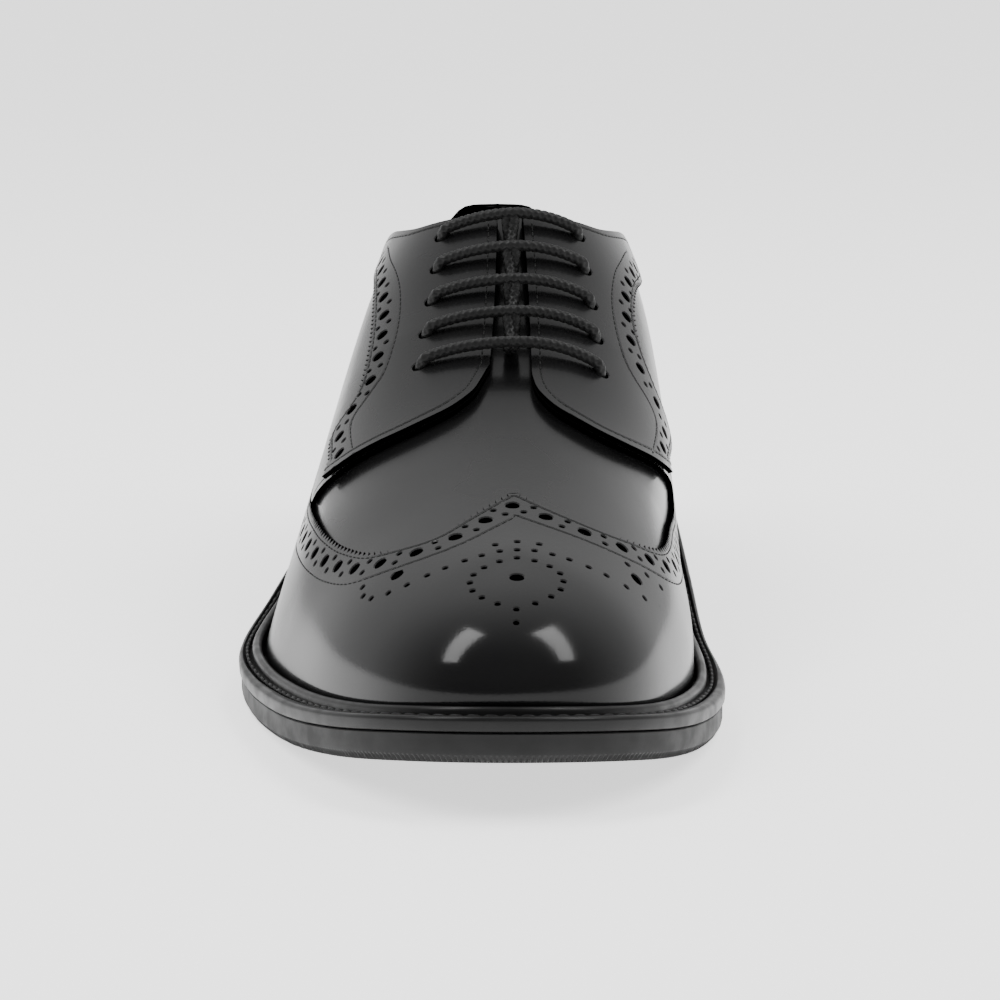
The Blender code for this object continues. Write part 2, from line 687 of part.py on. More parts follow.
def welt(material):
    """Strip round the upper: flat rim, stitch groove and raised bead."""
    margin = welt_margin(ring_places)
    round_off = WELT_THICKNESS * 0.2
    bead_end = BEAD_START + BEAD_WIDTH
    groove_end = bead_end + STITCH_GROOVE_WIDTH
    top, floor = WELT_THICKNESS, WELT_THICKNESS - STITCH_GROOVE_DEPTH
    profile = (
        (margin, 0.0),
        (margin, top - round_off),
        (margin - round_off, top),
        (groove_end, top),
        (groove_end - STITCH_GROOVE_WIDTH * 0.3, floor),
        (bead_end + STITCH_GROOVE_WIDTH * 0.2, floor),
        (bead_end, top),
        (BEAD_START + BEAD_WIDTH * 0.8, top + BEAD_HEIGHT * 0.75),
        (BEAD_START + BEAD_WIDTH * 0.5, top + BEAD_HEIGHT),
        (BEAD_START + BEAD_WIDTH * 0.2, top + BEAD_HEIGHT * 0.75),
        (BEAD_START, top),
        (BEAD_START, 0.0),
    )
    base = OUTSOLE_THICKNESS + SEAT
    loops = []
    for out, height in profile:
        plan = beside_feather(ring_places, np.broadcast_to(out, ring_places.shape))
        loops.append(raised(plan, over_underside(base + height)))
    count = len(ring_places)
    faces = []
    for k in range(len(loops)):
        n = (k + 1) % len(loops)
        for i in range(count):
            j = (i + 1) % count
            faces.append((k * count + i, k * count + j, n * count + j, n * count + i))
    return solid("welt", np.concatenate(loops), faces, material)


def heel_plan(inset):
    """Plan outline of the heel: the sole's edge behind the breast, and the hollow breast."""
    dense = np.linspace(0, BACK, 400)
    breast = y_of(HEEL_BREAST_SHARE)

    def edge(ring):
        return beside_feather(ring, welt_margin(ring) - SOLE_STEP - inset)

    first = np.interp(breast, edge(dense)[:, 1], dense)
    last = RING - np.interp(breast, edge(RING - dense)[:, 1], dense)
    between = ring_places[(ring_places > first + STATION_STEP / 3) & (ring_places < last - STATION_STEP / 3)]
    back = edge(np.concatenate([[first], between, [last]]))
    part = np.linspace(-1, 1, 9)[1:-1]
    middle = (back[0] + back[-1]) / 2
    half = (back[0] - back[-1]) / 2
    front = middle - part[:, None] * half + np.column_stack([0 * part, HEEL_BREAST_HOLLOW * (1 - part**2)])
    return np.concatenate([back, front[::-1]])


def heel_pieces(block_material, piece_material):
    flat = TOP_PIECE_THICKNESS + SEAT
    slope = HEEL_TAPER / HEEL_HEIGHT
    inset_low = SEAT + slope * (HEEL_HEIGHT - flat)
    low = heel_plan(inset_low)
    high = heel_plan(SEAT)

    def level(height):
        return lambda plan: np.full(len(plan), height)

    loops = [raised(low, level(flat)), raised(high, over_underside(-SEAT))]
    stack("heel_block", loops, level(flat), over_underside(-SEAT), block_material)
    rim = heel_plan(inset_low + slope * TOP_PIECE_THICKNESS + SEAT)
    loops = [raised(rim, level(0.0)), raised(low, level(TOP_PIECE_THICKNESS))]
    stack("heel_top_piece", loops, level(0.0), level(TOP_PIECE_THICKNESS), piece_material)


def tube(name, points, material):
    """Round lace strand as a closed mesh."""
    curve = bpy.data.curves.new(name, "CURVE")
    curve.dimensions = "3D"
    curve.bevel_depth = LACE_DIAMETER / 2
    curve.bevel_resolution = 2
    curve.use_fill_caps = True
    run = curve.splines.new("POLY")
    run.points.add(len(points) - 1)
    for node, point in zip(run.points, points):
        node.co = (*point, 1)
    drawn_curve = bpy.data.objects.new(name, curve)
    lace_strands.objects.link(drawn_curve)
    bpy.context.view_layer.update()
    evaluated = drawn_curve.evaluated_get(bpy.context.evaluated_depsgraph_get())
    mesh = bpy.data.meshes.new_from_object(evaluated)
    mesh.name = name
    mesh.materials.clear()
    bpy.data.objects.remove(drawn_curve)
    body = bmesh.new()
    body.from_mesh(mesh)
    bmesh.ops.remove_doubles(body, verts=body.verts, dist=1e-6)
    bmesh.ops.recalc_face_normals(body, faces=body.faces)
    body.to_mesh(mesh)
    body.free()
    finish(mesh)
    return placed(name, mesh, material, lace_strands)


def lace(material):
    """Bars from eyelet to eyelet over the facings, joined by the strands that cross below them in the throat."""
    radius = LACE_DIAMETER / 2
    over = FACING_TOP + radius + SEAT
    rows = list(zip(eyelet_centres("lateral"), eyelet_centres("medial")))
    strands = []
    for i, (left, right) in enumerate(rows):
        share = np.linspace(0, 1, 9)
        route = left + (right - left) * share[:, None]
        lift = over + LACE_ARCH * np.sin(math.pi * share)
        lift[0] = lift[-1] = over
        ends = [chart_point(end, np.array(UPPER_TOP)) for end in (left, right)]
        points = np.concatenate([ends[:1], chart_point(route, lift), ends[1:]])
        strands.append(tube(f"lace_bar_{i + 1}", points, material))
    for i, (low, high) in enumerate(zip(rows, rows[1:])):
        share = np.linspace(0, 1, 6)
        sway = LACE_CROSS * (1 - 2 * share) * (-1) ** i
        centre = [np.interp(RIDGE_ACROSS, [row[0][1], row[1][1]], [row[0][0], row[1][0]]) for row in (low, high)]
        line = np.column_stack([centre[0] + (centre[1] - centre[0]) * share, np.full(len(share), RIDGE_ACROSS)])
        line[:, 1] += sway / np.linalg.norm(chart_slopes(line)[1], axis=1)
        lift = over + LACE_ARCH - (over + LACE_ARCH - LACE_LOW) * np.sin(math.pi * share)
        strands.append(tube(f"lace_strand_{i + 1}", chart_point(line, lift), material))
    whole = strands[0]
    whole.name = "lace"
    lace_strands.objects.unlink(whole)
    shoe_pieces.objects.link(whole)
    for strand in strands[1:]:
        join = whole.modifiers.new(strand.name, "BOOLEAN")
        join.operation = "UNION"
        join.object = strand
        strand.hide_render = True
        strand.display_type = "WIRE"
    return whole


def upper_layers(leather, lining):
    outlines = {
        "upper": upper_outline(),
        "wing": wing_outline(),
        "tongue": tongue_outline(),
    }
    for side in ("lateral", "medial"):
        outlines["quarter_" + side] = quarter_outline(side)
        outlines["facing_" + side] = facing_outline(side)
        outlines["backstay_" + side] = backstay_outline(side)
        outlines["backstay_room_" + side] = backstay_outline(side, PANEL_JOINT)
    holes = [
        ring_hole(centre, EYELET_DIAMETER) for side in ("lateral", "medial") for centre in eyelet_centres(side)
    ]
    net = shared_net(list(outlines.values()) + holes)
    centres = net[0][net[1]].mean(1)
    inside = {name: in_outline(centres, outline) for name, outline in outlines.items()}
    pierced = np.any([in_outline(centres, hole) for hole in holes], axis=0)
    body = inside["upper"] & ~pierced
    backstay_room = inside["backstay_room_lateral"] | inside["backstay_room_medial"]
    layer("upper", net, body, UPPER_BED, UPPER_TOP, leather, lasted=True)
    layer("wing", net, inside["wing"], PANEL_BED, PANEL_TOP, leather)
    layer("tongue", net, inside["tongue"], TONGUE_BED, TONGUE_TOP, lining)
    for side in ("lateral", "medial"):
        quarter = inside["quarter_" + side] & body
        facing = inside["facing_" + side] & body & ~backstay_room
        layer("quarter_" + side, net, quarter, PANEL_BED, PANEL_TOP, leather)
        layer("facing_" + side, net, facing, FACING_BED, FACING_TOP, leather)
    strip = (inside["backstay_lateral"] | inside["backstay_medial"]) & body
    layer("backstay", net, strip, FACING_BED, FACING_TOP, leather)


def main():
    leather = surface("black_polished_leather", (0.012, 0.011, 0.011), 0.22)
    tongue_leather = surface("black_tongue_leather", (0.014, 0.013, 0.013), 0.35)
    insole_leather = surface("insole_leather", (0.35, 0.22, 0.13), 0.6)
    edge_leather = surface("blackened_welt", (0.016, 0.014, 0.013), 0.4)
    rubber = surface("sole_rubber", (0.014, 0.013, 0.013), 0.55)
    cotton = surface("waxed_lace", (0.012, 0.012, 0.012), 0.6)
    outsole(rubber)
    heel_pieces(rubber, rubber)
    welt(edge_leather)
    insole(insole_leather)
    upper_layers(leather, tongue_leather)
    lace(cotton)


for old in list(bpy.data.objects):
    bpy.data.objects.remove(old)
shoe_pieces = bpy.data.collections.new("brogue_shoe")
lace_strands = bpy.data.collections.new("lace_strands")
for made in (shoe_pieces, lace_strands):
    bpy.context.scene.collection.children.link(made)
sole_edge = beside_feather(ring_places, welt_margin(ring_places))
shoe_origin = bpy.data.objects.new("shoe_origin", None)
shoe_origin.location = (*(-(sole_edge.min(0) + sole_edge.max(0)) / 2), 0)
shoe_pieces.objects.link(shoe_origin)
main()
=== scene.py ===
"""Looks of the right wingtip derby brogue: polished black leather, punched and pinked panels, stitches,
welt, sole, heel and laces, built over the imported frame.

Metres, +Z up. The toe points along -Y and the outer side is -X.
"""

import json
import math

import bmesh
import bpy
import numpy as np
from mathutils import Matrix, Vector
from mathutils.bvhtree import BVHTree
from mathutils.geometry import delaunay_2d_cdt
from mathutils.interpolate import poly_3d_calc
from mathutils.kdtree import KDTree

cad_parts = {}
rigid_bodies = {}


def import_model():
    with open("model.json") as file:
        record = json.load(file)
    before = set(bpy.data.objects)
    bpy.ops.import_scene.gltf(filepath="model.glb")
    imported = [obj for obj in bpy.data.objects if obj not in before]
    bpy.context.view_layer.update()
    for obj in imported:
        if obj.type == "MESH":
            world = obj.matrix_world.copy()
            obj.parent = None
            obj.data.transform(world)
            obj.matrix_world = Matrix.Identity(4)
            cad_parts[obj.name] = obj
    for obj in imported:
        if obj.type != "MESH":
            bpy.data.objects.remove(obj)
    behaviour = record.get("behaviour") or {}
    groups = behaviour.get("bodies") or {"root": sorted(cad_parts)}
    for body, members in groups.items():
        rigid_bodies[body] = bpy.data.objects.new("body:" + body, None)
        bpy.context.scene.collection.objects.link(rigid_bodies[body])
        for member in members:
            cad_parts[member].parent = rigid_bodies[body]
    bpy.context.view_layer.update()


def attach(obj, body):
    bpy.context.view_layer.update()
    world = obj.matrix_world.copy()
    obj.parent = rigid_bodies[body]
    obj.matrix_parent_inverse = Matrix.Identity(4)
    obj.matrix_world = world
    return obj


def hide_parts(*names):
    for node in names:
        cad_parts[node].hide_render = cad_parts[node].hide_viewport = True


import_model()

# Driving sizes of the shoe
LAST_LENGTH = 0.2900
BALL_WIDTH = 0.0950
INSTEP_HEIGHT = 0.0740
HEEL_HEIGHT = 0.0225
TOE_SPRING = 0.0110
OUTSOLE_THICKNESS = 0.0062
WELT_THICKNESS = 0.0033
TOP_PIECE_THICKNESS = 0.0060
HEEL_BREAST_SHARE = 0.725
HEEL_BREAST_HOLLOW = 0.0040
HEEL_TAPER = 0.0020
WELT_MARGIN_FRONT = 0.0082
WELT_MARGIN_WAIST = 0.0062
WELT_MARGIN_HEEL = 0.0062
SOLE_STEP = 0.0006
SOLE_UNDERCUT = 0.0014
BEAD_WIDTH = 0.0024
BEAD_HEIGHT = 0.0018

# Leather thicknesses and the clearance between pieces
WALL = 0.0018
OVERLAY = 0.0012
FACING = 0.0013
TONGUE = 0.0020
SEAT = 0.0003
SOLE_STACK = OUTSOLE_THICKNESS + SEAT + WELT_THICKNESS

# Eyelets, lace and throat
EYELET_COUNT = 5
EYELET_DIAMETER = 0.0038
EYELET_PITCH = 0.0136
EYELET_SPREAD_FRONT = 0.0440
EYELET_SPREAD_TOP = 0.0350
LACE_DIAMETER = 0.0029
LACE_ARCH = 0.0012
LACE_LOW = -0.0004
LACE_CROSS = 0.0010
THROAT_GAP_FRONT = 0.0100
THROAT_GAP_TOP = 0.0064

# Camera of the photograph, in degrees, metres and pixels of its 1000 by 1000 frame
CAMERA_AZIMUTH = 0.82
CAMERA_ELEVATION = 10.45
CAMERA_TARGET = Vector((0.0, -0.02, 0.05))
CAMERA_DISTANCE = 0.7968
CAMERA_FOCAL = 3354.4
CAMERA_CENTRE = (488.1, 457.9)
PHOTO_SIZE = 1000

# Layers, as distances outside the form
PANEL_TOP = 0.0
PANEL_BED = PANEL_TOP - OVERLAY
UPPER_TOP = PANEL_BED - SEAT
UPPER_BED = UPPER_TOP - WALL
FACING_BED = PANEL_TOP + SEAT
FACING_TOP = FACING_BED + FACING
TONGUE_TOP = UPPER_BED - SEAT
TONGUE_BED = TONGUE_TOP - TONGUE
PANEL_JOINT = 1.5 * SEAT
BEAD_START = PANEL_TOP + 2 * SEAT

# Sections of the last, from the toe tip round to the heel back.
# share: place along the last, 0 at the toe tip. lateral, medial: half-widths at the feather line,
# as shares of the ball width. spine: share of the last where the section ends on top.
# height: height of that end over the ball's feather line, as a share of the instep height.
# drift: x of that end, as a share of the ball width.
# swell_lateral, swell_medial: how far each side swells. shoulder, crown: how high it stays full and
# how wide the top is.
SECTION_COLUMNS = (
    "share", "lateral", "medial", "spine", "height", "drift",
    "swell_lateral", "swell_medial", "shoulder", "crown",
)
SECTIONS = (
    (0.000, -0.045, 0.045, 0.115, 0.469, 0.070, 0.05, 0.05, 0.60, 0.62),
    (0.012, 0.084, 0.188, 0.118, 0.472, 0.070, 0.04, 0.05, 0.60, 0.62),
    (0.042, 0.187, 0.297, 0.126, 0.480, 0.070, 0.03, 0.04, 0.59, 0.62),
    (0.088, 0.280, 0.379, 0.142, 0.495, 0.070, 0.01, 0.04, 0.58, 0.62),
    (0.148, 0.371, 0.440, 0.174, 0.522, 0.068, -0.02, 0.03, 0.57, 0.63),
    (0.218, 0.453, 0.484, 0.228, 0.572, 0.067, -0.07, 0.03, 0.56, 0.64),
    (0.292, 0.521, 0.494, 0.296, 0.640, 0.067, -0.12, 0.04, 0.56, 0.67),
    (0.372, 0.542, 0.482, 0.374, 0.735, 0.068, -0.14, 0.07, 0.57, 0.70),
    (0.460, 0.506, 0.468, 0.458, 0.875, 0.070, -0.08, 0.14, 0.58, 0.75),
    (0.560, 0.441, 0.447, 0.546, 1.065, 0.068, 0.02, 0.20, 0.57, 0.81),
    (0.660, 0.382, 0.424, 0.634, 1.270, 0.058, 0.08, 0.22, 0.54, 0.87),
    (0.760, 0.346, 0.406, 0.712, 1.400, 0.040, 0.10, 0.21, 0.48, 0.90),
    (0.850, 0.336, 0.384, 0.776, 1.460, 0.022, 0.10, 0.18, 0.42, 0.91),
    (0.926, 0.304, 0.332, 0.820, 1.480, 0.010, 0.10, 0.14, 0.38, 0.91),
    (0.978, 0.204, 0.210, 0.848, 1.490, 0.003, 0.12, 0.13, 0.36, 0.90),
    (1.000, -0.004, 0.004, 0.858, 1.490, 0.000, 0.12, 0.12, 0.36, 0.90),
)
TIP = 0
BACK = len(SECTIONS) - 1
RING = 2 * BACK

# Underside of the outsole: share of the last, and height as a share of toe spring (front) or heel height.
FRONT_PROFILE = (
    (-0.03, 1.12), (0.0, 0.94), (0.06, 0.58), (0.12, 0.30), (0.19, 0.09), (0.25, 0.0), (0.36, 0.0),
)
BACK_PROFILE = (
    (0.36, 0.0), (0.44, 0.08), (0.53, 0.34), (0.62, 0.67), (0.70, 0.90), (0.80, 0.985), (1.02, 1.03),
)


def column(name):
    place = SECTION_COLUMNS.index(name)
    return [row[place] for row in SECTIONS]


def ring_spline(values):
    """Smooth closed curve through one value a section, once round the last."""
    values = np.asarray(values, float)
    count = len(values)
    bend = 4 * np.eye(count) + np.roll(np.eye(count), 1, 0) + np.roll(np.eye(count), -1, 0)
    second = np.linalg.solve(bend, 6 * (np.roll(values, -1) - 2 * values + np.roll(values, 1)))

    def at(ring):
        low = np.floor(ring).astype(int)
        part = ring - low
        i, j = low % count, (low + 1) % count
        curve = ((1 - part) ** 3 * second[i] + part**3 * second[j]) / 6
        line = (values[i] - second[i] / 6) * (1 - part) + (values[j] - second[j] / 6) * part
        return curve + line

    return at


def both_sides(values):
    """The same value on the lateral and the medial side."""
    return ring_spline(list(values) + list(values[-2:0:-1]))


def smooth_steps(table, scale):
    """Smooth curve through a short table of share and height."""
    shares = np.array([row[0] for row in table])
    heights = np.array([row[1] for row in table]) * scale
    slopes = np.gradient(heights, shares)
    slopes[heights == 0] = 0

    def at(share):
        share = np.clip(share, shares[0], shares[-1])
        k = np.clip(np.searchsorted(shares, share, side="right") - 1, 0, len(shares) - 2)
        width = shares[k + 1] - shares[k]
        p = (share - shares[k]) / width
        rise = (2 * p**3 - 3 * p**2 + 1) * heights[k] + (3 * p**2 - 2 * p**3) * heights[k + 1]
        return rise + width * ((p**3 - 2 * p**2 + p) * slopes[k] + (p**3 - p**2) * slopes[k + 1])

    return at


lateral = [-v * BALL_WIDTH for v in column("lateral")]
medial = [v * BALL_WIDTH for v in column("medial")]
feather_x = ring_spline(lateral + medial[-2:0:-1])
feather_share = both_sides(column("share"))
spine_share = both_sides(column("spine"))
spine_height = both_sides(column("height"))
spine_x = both_sides([v * BALL_WIDTH for v in column("drift")])
swell = ring_spline(column("swell_lateral") + column("swell_medial")[-2:0:-1])
shoulder = both_sides(column("shoulder"))
crown = both_sides(column("crown"))
spine_rise = np.gradient(column("height"), column("spine")) * INSTEP_HEIGHT / LAST_LENGTH
spine_slope = both_sides([rise if share < 0.3 else 0 for rise, share in zip(spine_rise, column("spine"))])
front_underside = smooth_steps(FRONT_PROFILE, TOE_SPRING)
back_underside = smooth_steps(BACK_PROFILE, HEEL_HEIGHT)


def underside(share):
    """Height of the outsole's underside."""
    return np.where(share < FRONT_PROFILE[-1][0], front_underside(share), back_underside(share))


def y_of(share):
    return (share - 0.5) * LAST_LENGTH


def share_of(y):
    return y / LAST_LENGTH + 0.5


def feather(ring):
    """Feather line: where the upper meets the welt."""
    share = feather_share(ring)
    return np.stack([feather_x(ring), y_of(share), underside(share) + SOLE_STACK], -1)


def spine(ring):
    """Top end of each section: the ridge of the vamp and instep, and the top of the ankle cone."""
    height = SOLE_STACK + spine_height(ring) * INSTEP_HEIGHT
    return np.stack([spine_x(ring), y_of(spine_share(ring)), height], -1)


def form_point(ring, rise):
    """Point of the last: ring runs round it by sections, rise from 0 at the feather to 1 on top."""
    ring, rise = np.broadcast_arrays(np.asarray(ring, float), np.asarray(rise, float))
    low, top = feather(ring), spine(ring)
    out = low - top
    tall = top[..., 2] - low[..., 2]
    side = top + out * (1 + swell(ring))[..., None]
    side[..., 2] = low[..., 2] + tall * shoulder(ring)
    over = top + out * crown(ring)[..., None]
    over[..., 2] = top[..., 2] + out[..., 1] * crown(ring) * spine_slope(ring)
    cone = np.clip((spine_share(ring) - 0.50) / 0.2, 0, 1)
    over[..., 2] -= cone * tall * 0.05
    p = rise[..., None]
    return (1 - p) ** 3 * low + 3 * (1 - p) ** 2 * p * side + 3 * (1 - p) * p**2 * over + p**3 * top


def side_normal(ring, rise):
    inner = np.clip(rise, 0.002, 0.985)
    step = 0.004
    round_it = form_point(ring + step, inner) - form_point(ring - step, inner)
    up_it = form_point(ring, inner + step) - form_point(ring, inner - step)
    normal = np.cross(up_it, round_it)
    return normal / np.linalg.norm(normal, axis=-1, keepdims=True)


def form_normal(ring, rise):
    """Outward direction of the form. Near the ridge it passes smoothly from one side to the other."""
    ring, rise = np.broadcast_arrays(np.asarray(ring, float), np.asarray(rise, float))
    near = np.clip((rise - 0.9) / 0.1, 0, 1)
    near = (near * near * (3 - 2 * near) / 2)[..., None]
    normal = (1 - near) * side_normal(ring, rise) + near * side_normal(RING - ring, rise)
    return normal / np.linalg.norm(normal, axis=-1, keepdims=True)


def on_form(ring, rise, lift=0.0):
    """Point a given distance outside the last."""
    if np.ndim(lift) == 0 and lift == 0:
        return form_point(ring, rise)
    return form_point(ring, rise) + form_normal(ring, rise) * np.asarray(lift)[..., None]


margin_along = smooth_steps(
    (
        (0.0, WELT_MARGIN_FRONT),
        (0.16, WELT_MARGIN_FRONT * 0.97),
        (0.36, WELT_MARGIN_FRONT * 0.72),
        (0.52, WELT_MARGIN_WAIST),
        (0.70, WELT_MARGIN_WAIST),
        (0.86, WELT_MARGIN_HEEL),
        (1.0, WELT_MARGIN_HEEL),
    ),
    1.0,
)


def welt_margin(ring):
    return margin_along(feather_share(ring))


def beside_feather(ring, margin):
    """Plan point a distance outside the feather line."""
    ring = np.asarray(ring, float)
    step = 0.01
    along = (feather(ring + step) - feather(ring - step))[..., :2]
    outward = np.stack([along[..., 1], -along[..., 0]], -1)
    outward /= np.linalg.norm(outward, axis=-1, keepdims=True)
    return feather(ring)[..., :2] - outward * np.asarray(margin)[..., None]


def chart_point(chart, lift=0.0):
    """Point over the form. A chart point is a station and how far across it lies:
    0 at the lateral feather, 1 on the ridge and 2 at the medial feather."""
    station, across = chart[..., 0], chart[..., 1]
    over = across > 1
    return on_form(np.where(over, RING - station, station), np.where(over, 2 - across, across), lift)


def chart_slopes(chart):
    """Surface vectors of one unit of station and one unit across."""
    step = 0.003
    one, two = np.array([step, 0]), np.array([0, step])
    by_station = (chart_point(chart + one) - chart_point(chart - one)) / (2 * step)
    by_across = (chart_point(chart + two) - chart_point(chart - two)) / (2 * step)
    return by_station, by_across


def moved(chart, toward):
    """Chart points moved by real vectors along the surface."""
    one, two = chart_slopes(chart)
    a, b, c = (one * one).sum(-1), (one * two).sum(-1), (two * two).sum(-1)
    d, e = (toward * one).sum(-1), (toward * two).sum(-1)
    size = a * c - b * b
    return chart + np.stack([(c * d - b * e) / size, (a * e - b * d) / size], -1)


def beside(line, distance, steps=6):
    """The line moved sideways over the surface, to the left of its run as seen from outside."""
    distance = np.broadcast_to(np.asarray(distance, float), line.shape[:1])
    line = np.array(line, float)
    for _ in range(steps):
        along = np.gradient(chart_point(line), axis=0)
        one, two = chart_slopes(line)
        left = np.cross(np.cross(two, one), along)
        left /= np.linalg.norm(left, axis=-1, keepdims=True)
        line = moved(line, left * (distance / steps)[:, None])
    return line


def path_lengths(points):
    return np.concatenate([[0], np.cumsum(np.linalg.norm(np.diff(points, axis=0), axis=1))])


def lengths_along(line):
    return path_lengths(chart_point(line))


def evenly(line, spacing):
    """The same line with points at an even spacing."""
    run = lengths_along(line)
    marks = np.linspace(0, run[-1], max(2, int(round(run[-1] / spacing)) + 1))
    return np.stack([np.interp(marks, run, line[:, i]) for i in (0, 1)], -1)


def drawn(table, medial=False, spacing=0.0022):
    """Smooth line through a table of stations and rises."""
    points = np.array(table, float)
    if medial:
        points[:, 1] = 2 - points[:, 1]
    ends = np.concatenate([[2 * points[0] - points[1]], points, [2 * points[-1] - points[-2]]])
    t = np.linspace(0, 1, 25)[:-1, None]
    runs = []
    for a, b, c, d in zip(ends, ends[1:], ends[2:], ends[3:]):
        bend = (2 * a - 5 * b + 4 * c - d) * t**2 + (3 * b - a - 3 * c + d) * t**3
        runs.append((2 * b + (c - a) * t + bend) / 2)
    return evenly(np.concatenate(runs + [points[-1:]]), spacing)


def nearest_on(line, point):
    return int(np.argmin(np.linalg.norm(chart_point(line) - chart_point(np.asarray(point)), axis=1)))


def loop_of(*lines):
    """Closed outline through lines laid end to end, each point once."""
    points = np.concatenate(lines)
    return points[np.linalg.norm(points - np.roll(points, 1, 0), axis=1) > 1e-6]


def mirrored(line):
    return line * [1, -1] + [0, 2]


def in_outline(points, outline):
    """Which points lie inside a closed outline."""
    inside = np.zeros(len(points), bool)
    for (x0, y0), (x1, y1) in zip(outline, np.roll(outline, -1, 0)):
        if y0 != y1:
            crosses = (y0 > points[:, 1]) != (y1 > points[:, 1])
            inside ^= crosses & (points[:, 0] < (x1 - x0) * (points[:, 1] - y0) / (y1 - y0) + x0)
    return inside


def pinked(line, inward):
    """Zigzag along a line: teeth reach the line, and the notches lie to its inner side."""
    teeth = evenly(line, PINK_PITCH / 2)
    depth = np.where(np.arange(len(teeth)) % 2 == 1, PINK_DEPTH, 0.0)
    depth[0] = depth[-1] = 0.0
    return beside(teeth, inward * depth, steps=1)


def round_loop(centre, radius, sides):
    """Circle on the surface round a chart point."""
    one, two = chart_slopes(centre)
    normal = np.cross(two, one)
    one = one / np.linalg.norm(one)
    two = np.cross(normal / np.linalg.norm(normal), one)
    turn = 2 * math.pi * np.arange(sides) / sides
    toward = (np.cos(turn)[:, None] * one + np.sin(turn)[:, None] * two) * radius
    return moved(np.repeat(centre[None], sides, 0), toward)


class Net:
    """Points and triangles laid over a flat chart, with closed and open lines among their edges.
    Each line is (points, dip, closed), where dip is how far its points sink below the surface."""

    def __init__(self, grid, lines, scale, clearance):
        every = np.concatenate([line[0] for line in lines]) * scale
        tree = KDTree(len(every))
        for i, (x, y) in enumerate(every):
            tree.insert((x, y, 0), i)
        tree.balance()
        grid = grid[[tree.find((x, y, 0))[2] > clearance for x, y in grid * scale]]
        start, edges, dips = len(grid), [], [0.0] * len(grid)
        for points, dip, closed in lines:
            count = len(points)
            edges += [(start + i, start + (i + 1) % count) for i in range(count - (not closed))]
            dips += [dip] * count
            start += count
        flat = [Vector(point) for point in np.concatenate([grid * scale, every])]
        found, _, triangles, origin, _, _ = delaunay_2d_cdt(flat, edges, [], 0, 1e-5)
        self.points = np.array([tuple(point) for point in found]) / scale
        self.triangles = np.array(triangles)
        self.dips = np.array([max([dips[i] for i in ids], default=0.0) for ids in origin])
        self.place_of = {i: k for k, ids in enumerate(origin) for i in ids}
        self.first = len(grid)

    def keep(self, outline, holes=(), without=None):
        """Drops what lies outside the outline, in a hole or in a left-out region."""
        centres = self.points[self.triangles].mean(1)
        kept = in_outline(centres, outline)
        for hole in holes:
            low, high = hole.min(0), hole.max(0)
            near = np.flatnonzero(((centres > low) & (centres < high)).all(1))
            kept[near[in_outline(centres[near], hole)]] = False
        if without is not None:
            kept &= ~in_outline(centres, without)
        self.triangles = self.triangles[kept]


def fine_grid(outline, step_station, step_across):
    """Even points over the part of the chart that an outline covers, with the toe tip and heel back lines."""
    low, high = outline.min(0), outline.max(0)
    stations = np.linspace(TIP, BACK, int(round(BACK / step_station)) + 1)
    rows = np.linspace(0, 2, 2 * int(round(1 / step_across)) + 1)
    stations = stations[(stations >= low[0] - 1e-9) & (stations <= high[0] + 1e-9)]
    rows = rows[(rows >= low[1] - 1e-9) & (rows <= high[1] + 1e-9)]
    grid = np.stack(np.meshgrid(stations, rows, indexing="ij"), -1).reshape(-1, 2)
    border = (grid[:, 0] % BACK < 1e-9) | (np.abs(grid[:, 1] - 1) > 1 - 1e-9)
    return grid[border | in_outline(grid, outline)]


def welded_ends(charts):
    """For each point, the one that stands for it where the two sides meet, at toe tip and heel back."""
    stands = np.arange(len(charts))
    for end in (TIP, BACK):
        line = np.flatnonzero(np.abs(charts[:, 0] - end) < 1e-6)
        for i in line[charts[line, 1] > 1 + 1e-6]:
            away = np.linalg.norm(charts[line] - [end, 2 - charts[i, 1]], axis=1)
            if away.min() < 1e-4:
                stands[i] = line[np.argmin(away)]
    return stands


def lifted(charts, lift):
    """Points at a lift over the form, which may be a function of the chart."""
    return chart_point(charts, lift(charts) if callable(lift) else np.full(len(charts), lift))


def normals_of(charts, lift):
    """Outward normals of a lifted surface, from its own slopes."""
    safe = charts.copy()
    safe[:, 0] = np.where(np.abs(charts[:, 1] - 1) < 0.5, np.maximum(charts[:, 0], 0.12), charts[:, 0])
    one, two = np.array([0.01, 0]), np.array([0, 0.002])
    by_station = lifted(safe + one, lift) - lifted(safe - one, lift)
    by_across = lifted(safe + two, lift) - lifted(safe - two, lift)
    normal = np.cross(by_across, by_station)
    return normal / np.linalg.norm(normal, axis=1, keepdims=True)


def border_edges(faces):
    edges = [(face[i], face[(i + 1) % 3]) for face in faces.tolist() for i in range(3)]
    every = set(edges)
    return [edge for edge in edges if edge[::-1] not in every]


